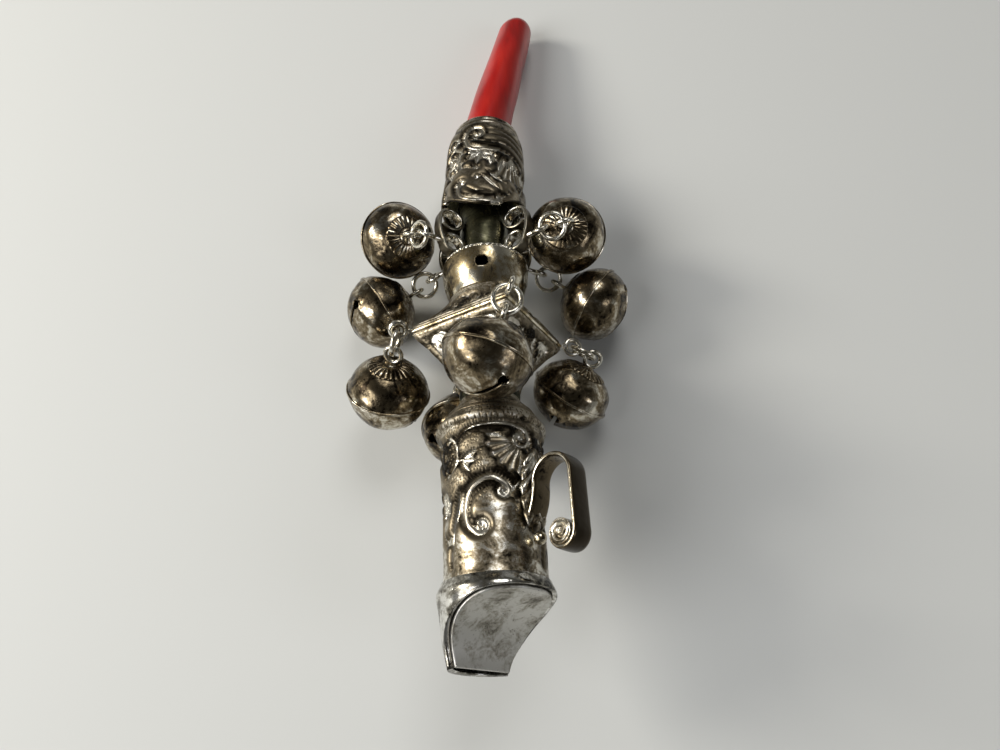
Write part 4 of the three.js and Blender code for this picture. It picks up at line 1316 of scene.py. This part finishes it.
def strap_skin(line: Array, width: float, crown: float, turn_deg: float, outer_soot: float = 0.0) -> Skin:
    """A flat strap with softened edges, bent along a line in the plane of the stem's axis and a radius.

    Its section is a superellipse of the strap's width and thickness, whose faces swell by crown.
    One face is darkened almost wholly by painted shade, given through the hollow mark, and the edges are
    rubbed bright.

    Args:
        line: radius and station pairs.
        width: width of the strap.
        crown: extra height at the middle of the faces.
        turn_deg: angle of the plane round the stem.
        outer_soot: share of tarnish on the middle of the face that hands reach.

    Returns:
        The strap's mesh in the frame.
    """
    way = np.gradient(line, axis=0)
    way /= np.linalg.norm(way, axis=1, keepdims=True)
    side = np.stack([-way[:, 1], way[:, 0]], axis=1)
    angle = full_turn(28)
    c, s = np.cos(angle), np.sin(angle)
    across = np.sign(c) * np.abs(c) ** 0.35 * width / 2
    face = np.sign(s) * np.abs(s) ** 0.5
    out = face * (STRAP_THICKNESS / 2 + crown * (1 - (across / (width / 2)) ** 2))
    flat = capped(line, line[:, None] + side[:, None] * out[None, :, None])
    aside = np.tile(across, (len(flat), 1))
    aside[0] = aside[-1] = 0
    rubbed = np.abs(c) ** 4
    # painted shade: one face of the strap is marked dark all over; outer_soot adds tarnish to the middle of
    # the faces
    hollow = np.maximum(0.95 * np.clip(face, 0, 1), outer_soot * (1 - rubbed))
    marks = {"hollow": np.tile(hollow, len(flat)), "rubbed": np.tile(rubbed, len(flat))}
    return AXES.skin(AXES.round(flat[..., 0], flat[..., 1], turn_deg, aside), flip=False, marks=marks)


def arc_line(x: float, y: float, radius: Array | float, start: float, end: float, count: int) -> Array:
    """Points about a centre between two angles in degrees, at one radius or one for each."""
    angle = np.radians(np.linspace(start, end, count))
    return np.stack([x + radius * np.cos(angle), y + radius * np.sin(angle)], axis=1)


@dataclass
class RibbonHandle:
    """The ribbon handle: a strap loop that ends in a volute, with an acanthus leaf and a bead."""

    turn: float = 47.0
    width: float = 3.8
    leg_radius: float = 9.95
    leg_foot: float = 20.0
    leg_draw: float = 1.15
    arch_foot: float = 24.4
    arch_radius: float = 3.45
    volute_station: float = 15.8
    volute_radius: float = 2.4
    volute_eye: float = 0.9
    volute_turns: float = 1.25
    leaf_foot: float = 19.1
    leaf_length: float = 11.5
    leaf_width: float = 5.0
    leaf_radius: float = 8.8
    leaf_seat: float = 8.35
    leaf_lobes: int = 5
    rib_height: float = 0.14
    disc_radius: float = 1.9
    disc_half: float = 2.0
    disc_pitch: float = 0.8
    ridge_height: float = 0.16
    bead_reach: float = 9.15
    bead_station: float = 16.5

    def line(self) -> Array:
        """The strap's middle line: up the leg, over the arch, down the outer leg and into the spiral."""
        centre = self.leg_radius + self.arch_radius
        outer = centre + self.arch_radius
        rise = np.linspace(0, 1, 12)
        station = self.leg_foot + (self.arch_foot - self.leg_foot) * rise
        leg = np.stack([self.leg_radius - self.leg_draw * (1 - rise) ** 2, station], axis=1)
        arch = arc_line(centre, self.arch_foot, self.arch_radius, 180, 0, 40)
        fall = np.stack([np.full(10, outer), np.linspace(self.arch_foot, self.volute_station, 10)], axis=1)
        r = self.volute_radius + (self.volute_eye - self.volute_radius) * np.linspace(0, 1, 70)
        coil = arc_line(outer - self.volute_radius, self.volute_station, r, 0, -360 * self.volute_turns, 70)
        return np.concatenate([leg[:-1], arch[:-1], fall[:-1], coil])

    def build_leaf(self) -> None:
        """The leaf on the barrel: its half width swells at each lobe, and it is ribbed and veined."""
        t = np.linspace(0, 1, 150)[:, None]
        s = np.linspace(-1, 1, 61)[None, :]
        lobes = 0.16 * np.abs(np.sin(math.pi * self.leaf_lobes * t)) ** 0.6
        half = self.leaf_width / 2 * (np.sin(math.pi * (0.12 + 0.86 * t)) ** 0.55 * 0.84 + lobes)
        y = self.leaf_foot + self.leaf_length * t - 0.84 * np.abs(s) ** 1.5
        wave = np.sin(2 * math.pi * (self.leaf_lobes * t + 0.9 * np.abs(s)))
        ribs = self.rib_height * wave * np.abs(s) ** 0.5
        vein = 0.12 * np.exp(-(s / 0.12) ** 2)
        r = self.leaf_seat + 0.62 * np.sqrt(np.clip(1 - s ** 4, 0, 1)) + vein + ribs
        points = AXES.round(r, y, np.degrees(s * half / self.leaf_radius) + self.turn)
        hollow = np.clip(-ribs / self.rib_height, 0, 1) * 0.9
        skin = AXES.skin(points, wrap=False, marks={"hollow": hollow})
        piece("acanthus_leaf", skin, Finish.CHASED, "handle_leaf", 0.3)

    def build_disc(self) -> None:
        """The solid scroll in the volute: a short drum whose flat sides carry a spiral ridge.

        On a side at distance r and angle a from the middle, the lift is a cosine of r less a turn's share of
        its pitch, so that the ridges wind inwards to a bead.
        """
        out = np.linspace(0, self.disc_radius, 60)
        r = np.concatenate([out, [self.disc_radius] * 2, out[::-1]])[:, None]
        half = np.repeat([1.0, -1.0], 61)[:, None]
        a = full_turn(120)
        wind = np.cos(2 * math.pi * (r / self.disc_pitch - a / (2 * math.pi)))
        fade = np.clip(r / 0.5, 0, 1) * np.clip((self.disc_radius - r) / 0.3, 0, 1)
        ridge = self.ridge_height * wind * fade
        lift = ridge + 0.35 * np.sqrt(np.clip(1 - (r / 0.6) ** 2, 0, 1))
        centre = self.leg_radius + 2 * self.arch_radius - self.volute_radius
        station = self.volute_station + r * np.sin(a)
        points = AXES.round(centre + r * np.cos(a), station, self.turn, half * (self.disc_half + lift))
        marks = {"hollow": np.clip(-lift / self.ridge_height, 0, 1)}
        piece("volute_disc", AXES.skin(points, flip=False, marks=marks), Finish.CHASED)

    def build(self) -> None:
        """Strap, volute disc, leaf and bead."""
        strap = strap_skin(self.line(), self.width, 0.06, self.turn, outer_soot=0.75)
        piece("ribbon_strap", strap, Finish.BELL, "ribbon_handle")
        self.build_disc()
        self.build_leaf()
        lat = np.radians(np.linspace(-90, 90, 25))[:, None]
        lon = np.radians(np.arange(36) * 10.0)
        sphere = xyz(np.cos(lat) * np.cos(lon), np.sin(lat), np.cos(lat) * np.sin(lon))
        points = sphere + AXES.round(self.bead_reach, self.bead_station, self.turn)
        piece("handle_bead", AXES.skin(points, flip=False), Finish.POLISHED, "handle_ball")


# Chain rings


@dataclass
class EyeRing:
    """A wire eye whose plane holds the stem's radius, twisted about that radius."""

    radius: float = 1.35
    wire: float = 0.45

    def skin(
        self, turn_deg: float, twist_deg: float, reach: float, station: float, shank: float, seed: int
    ) -> Skin:
        """The ring and its shank.

        Args:
            turn_deg: angle round the stem.
            twist_deg: twist about the radius.
            reach: radius of the ring's middle.
            station: its station.
            shank: length of the shank inwards from the ring.
            seed: number that fixes the ring's unevenness.

        Returns:
            The mesh in the frame.
        """
        phi, twist = math.radians(turn_deg), math.radians(twist_deg)
        tangent = np.array([math.cos(phi), 0, -math.sin(phi)])
        outwards = np.array([math.sin(phi), 0, math.cos(phi)])
        hole = math.cos(twist) * tangent + math.sin(twist) * np.array([0.0, -1.0, 0.0])
        third = np.cross(hole, outwards)
        centre = outwards * reach + np.array([0, station, 0])
        flat = ring_line(self.radius, 48, 0.02, seed)
        ring = stem_tube(centre + flat[:, :1] * outwards + flat[:, 1:] * third, self.wire, 14)
        foot = centre - outwards * (self.radius + shank)
        run = foot + (centre - outwards * (self.radius - 0.1) - foot) * np.linspace(0, 1, 5)[:, None]
        return ring.joined(stem_tube(run, self.wire * 1.05, 14, False))


@dataclass
class Brackets:
    """Four scroll brackets: a large curl over a small one, with an eye for the chain."""

    turns: tuple[float, ...] = (58.0, 122.0, 238.0, 302.0)
    twists: tuple[float, ...] = (46.2, 54.7, -32.4, -44.4)
    foot: float = 70.4
    width: float = 2.2
    large: float = 2.25
    small: float = 1.9
    back: float = 5.3
    large_above: float = 8.9
    small_above: float = 3.5
    bulge: float = 0.9
    eye_above: float = 4.0
    eye_reach: float = 12.3
    shank: float = 1.9

    def line(self) -> Array:
        """The strap's middle line, from inside the large curl to inside the small one."""
        large_y, small_y = self.foot + self.large_above, self.foot + self.small_above
        top = np.array([self.back + 2 * self.large, large_y])
        foot = np.array([self.back + 2 * self.small, small_y])
        middle = (top + foot) / 2 + np.array([self.bulge, 0])
        t = np.linspace(0, 1, 16)[1:-1, None]
        return np.concatenate([
            arc_line(self.back + self.large, large_y, self.large, 320, 0, 50),
            (1 - t) ** 2 * top + 2 * t * (1 - t) * middle + t ** 2 * foot,
            arc_line(self.back + self.small, small_y, self.small, 0, -310, 44),
        ])

    def build(self) -> None:
        """All four brackets."""
        for i, (turn, twist) in enumerate(zip(self.turns, self.twists)):
            strap = strap_skin(self.line(), self.width, 0.05, turn)
            eye = EyeRing().skin(turn, twist, self.eye_reach, self.foot + self.eye_above, self.shank, i)
            piece(f"scroll_bracket_{i + 1}", strap.joined(eye), Finish.WIRE, f"bell_bracket_{i + 1}")


@dataclass
class CornerEyes:
    """The eyes at the canopy's corners."""

    turn: float = 15.0
    twists: tuple[float, ...] = (19.1, -15.2, -13.0, 52.3)
    reach: float = 15.9
    station: float = 55.3
    shank: float = 0.6

    def build(self) -> None:
        """All four eyes."""
        for i, twist in enumerate(self.twists):
            skin = EyeRing().skin(self.turn + 90 * i, twist, self.reach, self.station, self.shank, i + 5)
            piece(f"canopy_eye_{i + 1}", skin, Finish.WIRE, f"corner_eye_{i + 1}")


@dataclass
class Bell:
    """One crotal bell on its link: two dented half shells, a fluted cap, a loop, a slit and its holes."""

    number: int
    slit_deg: float
    radius: float = 7.35
    lip: float = 7.56
    wall: float = 0.55
    slit_half: float = 0.42
    hole: float = 1.0
    slit_span: float = 50.0
    cap: float = 4.1
    button: float = 1.5
    flutes: int = 22
    crown_flat: float = 0.8435
    bowl_flat: float = 0.8844
    loop_radius: float = 1.45
    loop_wire: float = 0.42
    loop_play: float = 0.15
    loop_height: float = 7.8218
    link_radius: float = 2.3
    link_wire: float = 0.45

    def joint(self, name: str) -> tuple[Array, Array]:
        """Place and axis of one of this bell's joints, in metres."""
        for joint in frame["record"]["behaviour"]["joints"]:
            if joint["name"] == name:
                axis = np.array(joint["axis"], dtype=float)
                return np.array(joint["pos_m"], dtype=float), axis / np.linalg.norm(axis)
        raise LookupError(name)

    def axes(self) -> tuple[Array, Array]:
        """The bell's centre and its axes as rows: X, Y from the loop to the slit, and Z along its hinge."""
        centre, _ = self.joint(f"pellet_{self.number}_roll")
        hinge, z = self.joint(f"bell_{self.number}_swing")
        y = (centre - hinge) / np.linalg.norm(centre - hinge)
        return centre, np.stack([np.cross(y, z), y, z])

    def placed(self, points: Array) -> Array:
        """Carries points about the bell's centre in millimetres into the frame."""
        centre, axes = self.axes()
        return centre + (points.reshape(-1, 3) * MM) @ axes

    def beaten(self, way: Array, radius: Array, flat: float) -> Array:
        """Points of a dented half shell, the dents kept shallow near the flange that holds it.

        Args:
            way: unit vectors from the bell's centre.
            radius: distance along each, before the dents.
            flat: how far the half shell's height is squashed.

        Returns:
            Points about the bell's centre.
        """
        points = way * radius[..., None]
        away = np.clip(np.abs(points[..., 1]) / self.radius * 3, 0, 1)
        soft = dents(points * MM + self.number, 8 * MM, 40 + self.number, 6) * 0.13
        sharp = np.minimum(dents(points * MM, 4 * MM, 90 + self.number, 8), 0.3) * 0.05
        points = points + way * ((soft + sharp - 0.1) * away)[..., None]
        points[..., 1] *= flat
        return points

    def bowl(self) -> Skin:
        """The slit half, as two quarter shells that meet beyond the slit.

        A place is given by its angle a from the pole along the slit and its angle b away from the slit's
        plane. b starts at the slit's edge, at the round hole's edge near its ends, and at zero beyond.
        """
        a = np.radians(np.linspace(-90, 90, 181))
        arc = np.radians(self.slit_span)
        hole = self.hole / self.radius
        off = np.abs(np.abs(a) - arc)
        round_edge = np.where(off < hole, np.sqrt(np.clip(hole ** 2 - off ** 2, 0, None)), 0)
        slit_edge = np.where(np.abs(a) < arc, self.slit_half / self.radius, 0)
        start = np.where(np.abs(a) < np.radians(89), np.maximum(round_edge, slit_edge), 0)
        b = start + (math.pi / 2 - start) * np.linspace(0, 1, 38)[:, None] ** 1.3
        turned_up = 0.14 * np.exp(-((b - start) * self.radius / 0.5) ** 2) * (start > 0)
        quarters = []
        for sign in (1, -1):
            way = xyz(np.sin(a) * np.cos(b), np.cos(a) * np.cos(b), sign * np.sin(b))
            points = self.beaten(way, self.radius + turned_up, self.bowl_flat)
            quarters.append(Skin(points.reshape(-1, 3), grid_faces(38, 181, False)[:, ::-sign]))
        skin = quarters[0].joined(quarters[1])
        return Skin(self.placed(spun(skin.points, self.slit_deg)), skin.quads)

    def crown(self) -> Skin:
        """The loop half: a dented half shell with a raised round cap whose flutes fan from the loop.

        The cap and its button are smooth steps of the radius. The flutes are the absolute sine of the angle
        round the bell, so they swell between sharp valleys, and they fade towards the button.
        """
        b = np.radians(np.concatenate([np.linspace(0, 36, 54), np.linspace(36, 89.5, 36)[1:]]))[:, None]
        phi = full_turn(220)
        reach = np.sin(b) * self.radius
        cap, button = (
            1 / (1 + np.exp(np.clip((reach - edge) / 0.05, -50, 50))) for edge in (self.cap, self.button)
        )
        swell = np.abs(np.sin(self.flutes / 2 * phi)) ** 0.6
        fan = cap * (1 - button) * np.clip((reach - self.button) / 1.2, 0, 1)
        worn = np.clip(0.75 + 0.7 * np.sin(phi + 1.7 * self.number), 0.1, 1)
        radius = self.radius + 0.08 * cap + 0.22 * button + 0.2 * (swell - 0.2) * fan * worn
        way = xyz(np.sin(b) * np.sin(phi), -np.cos(b), np.sin(b) * np.cos(phi))
        hollow = (1 - swell) * fan * worn + 0.9 * np.exp(-((reach - self.cap - 0.08) / 0.13) ** 2)
        hollow = hollow + 0.8 * np.exp(-((reach - self.button - 0.2) / 0.2) ** 2)
        points = self.placed(self.beaten(way, radius, self.crown_flat))
        return Skin(points, grid_faces(len(b), len(phi)), {"hollow": np.clip(hollow, 0, 1).ravel()})

    def rim(self) -> Skin:
        """The thin lip where the halves are joined, a closed ring that runs a little out of true."""
        phi = full_turn(140)
        r, y = rounded([(6.95, -0.26), (7.42, -0.26), (7.6, -0.16), (self.lip, -0.06), (self.lip, 0.08),
                        (7.6, 0.18), (7.42, 0.28), (6.95, 0.28), (6.95, -0.26)], 0.06, 3).T[..., None]
        wave = 1 + 0.004 * np.sin(5 * phi + self.number)
        sway = 0.06 * np.sin(3 * phi + 2 * self.number)
        points = xyz(r * np.sin(phi) * wave, y + sway, r * np.cos(phi) * wave)
        rubbed = np.clip((r - 7.45) / 0.2, 0, 1) + 0 * phi
        return Skin(self.placed(points), grid_faces(len(r), len(phi))[:, ::-1], {"rubbed": rubbed.ravel()})

    def build(self) -> None:
        """Both halves, their rim, the loop and the link."""
        n, body, dark = self.number, f"bell_{self.number}", "tarnished_silver"
        for name, skin, replaces, wall, slot in (
            ("bell_bowl_shell", self.bowl(), f"bell_bowl_{n}", self.wall, "worn_silver"),
            ("bell_crown_shell", self.crown(), f"bell_crown_{n}", self.wall, dark),
            ("bell_rim", self.rim(), "", 0.0, dark),
        ):
            piece(f"{name}_{n}", skin, Finish.BELL, replaces, wall, body, BELL_SHARP_DEG)
        centre, axes = self.axes()
        flat = ring_line(self.loop_radius, 44, 0.015, n) * MM
        line = centre - axes[1] * self.loop_height * MM + flat[:, :1] * axes[1] + flat[:, 1:] * axes[2]
        loop = tube(line, self.loop_wire * MM, 14)
        piece(f"bell_loop_{n}", loop, Finish.WIRE, body=body)
        eye, link_x = self.joint(f"link_{n}_swing")
        hinge, _ = self.joint(f"bell_{n}_swing")
        far = hinge + axes[1] * (self.loop_radius - self.loop_play) * MM
        link_y = (far - eye) / np.linalg.norm(far - eye)
        flat = ring_line(self.link_radius, 60, 0.012, n + 20) * MM
        line = eye + link_y * self.link_radius * MM + flat[:, :1] * link_x + flat[:, 1:] * link_y
        link = tube(line, self.link_wire * MM, 16)
        piece(f"link_wire_{n}", link, Finish.WIRE, f"link_ring_{n}", body=f"link_{n}")


@dataclass
class Bells:
    """All eight bells."""

    slits: tuple[float, ...] = (50.0, 20.0, 172.0, 110.0, 40.0, 12.0, 130.0, 5.0)

    def build(self) -> None:
        """Each bell, and the finish of its pellet."""
        for number, slit in enumerate(self.slits, start=1):
            Bell(number, slit).build()
            refinish(f"bell_pellet_{number}", Finish.SHOT)


# Stage


@dataclass
class Stage:
    """Floor, soft studio light and the camera at the photograph's place."""

    board_half: float = 1.6
    lens_mm: float = 27.0
    back_deg: float = 21.5
    roll_deg: float = 2.5
    distance: float = 130.0
    aside: float = 1.9
    aim_station: float = 47.8
    room_strength: float = 0.5

    def build_floor(self) -> None:
        """A plain board on the plane that the rattle lies on."""
        line = np.linspace(-self.board_half, self.board_half, 9)
        points = np.stack(np.meshgrid(line, line, [0.0], indexing="ij"), axis=-1).reshape(-1, 3)
        mesh = bpy.data.meshes.new("board")
        mesh.from_pydata(points.tolist(), [], grid_faces(9, 9, False)[:, ::-1].tolist())
        mesh.materials.append(dressed(Finish.BOARD))
        board = bpy.data.objects.new("board", mesh)
        bpy.context.scene.collection.objects.link(board)

    def build_camera(self) -> None:
        """The camera over the whistle end, rolled a little, aimed beside the stem's middle."""
        psi, rho = math.radians(self.back_deg), math.radians(self.roll_deg)
        level = np.array([0, math.cos(psi), math.sin(psi)])
        way = np.array([0, math.sin(psi), -math.cos(psi)])
        right = math.cos(rho) * np.array([1.0, 0, 0]) - math.sin(rho) * level
        up = math.sin(rho) * np.array([1.0, 0, 0]) + math.cos(rho) * level
        aim = AXES.to_frame(np.array([0, self.aim_station, 0]))
        place = aim + self.aside * MM * right - self.distance * MM * way
        camera = bpy.data.cameras.new("camera")
        camera.lens = self.lens_mm
        camera.sensor_width = 36.0
        camera.clip_start = 0.005
        obj = bpy.data.objects.new("camera", camera)
        turn = Matrix((right.tolist(), up.tolist(), (-way).tolist())).transposed()
        obj.matrix_world = Matrix.Translation(place.tolist()) @ turn.to_4x4()
        bpy.context.scene.collection.objects.link(obj)
        bpy.context.scene.camera = obj

    def lamp(self, name: str, place: Point, size: float, watts: float, shade: str) -> None:
        """An area lamp that faces the rattle."""
        light = bpy.data.lights.new(name, "AREA")
        light.shape = "DISK"
        light.size = size
        light.energy = watts
        light.color = linear(shade)[:3]
        obj = bpy.data.objects.new(name, light)
        obj.location = place
        obj.rotation_euler = (-Vector(place)).to_track_quat("-Z", "Y").to_euler()
        bpy.context.scene.collection.objects.link(obj)

    def build_room(self) -> None:
        """A room that is darker overhead, so that the silver shows its form."""
        world = bpy.data.worlds.new("studio")
        bpy.context.scene.world = world
        world.use_nodes = True
        backdrop = world.node_tree.nodes["Background"]
        sheet = NodeSheet(world.node_tree)
        way = sheet.out("TexCoord", "Generated")
        height = sheet.out("SeparateXYZ", "Z", links={0: way})
        glow = sheet.ramp(height, ((0.0, "#B0B0AC"), (0.45, "#747471"), (1.0, "#484846")))
        world.node_tree.links.new(glow, backdrop.inputs["Color"])
        backdrop.inputs["Strength"].default_value = self.room_strength

    def build(self) -> None:
        """Floor, camera, lamps and room."""
        self.build_floor()
        self.build_camera()
        self.lamp("sun_left", (-0.6, 0.14, 0.34), 0.2, 3.3, "#FFFAF0")
        self.lamp("window_left", (-0.5, -0.22, 0.46), 0.5, 3.4, "#FFFFFF")
        self.lamp("soft_right", (0.55, -0.3, 0.45), 0.3, 0.6, "#F6F7FF")
        self.lamp("soft_top", (0.1, 0.42, 0.66), 0.4, 1.6, "#FFFFFF")
        self.build_room()
        bpy.context.scene.view_settings.view_transform = "Standard"


def main() -> None:
    """Builds the stage and every sub-assembly in order."""
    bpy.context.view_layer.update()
    for part in (
        Stage(), CoralStick(), Ferrule(), Knop(), Canopy(), Whistle(), Beak(), RibbonHandle(), Brackets(),
        CornerEyes(), Bells(),
    ):
        log.info("building %s", type(part).__name__)
        part.build()
    refinish("fipple_block", Finish.TARNISHED)


if __name__ == "__main__":
    main()
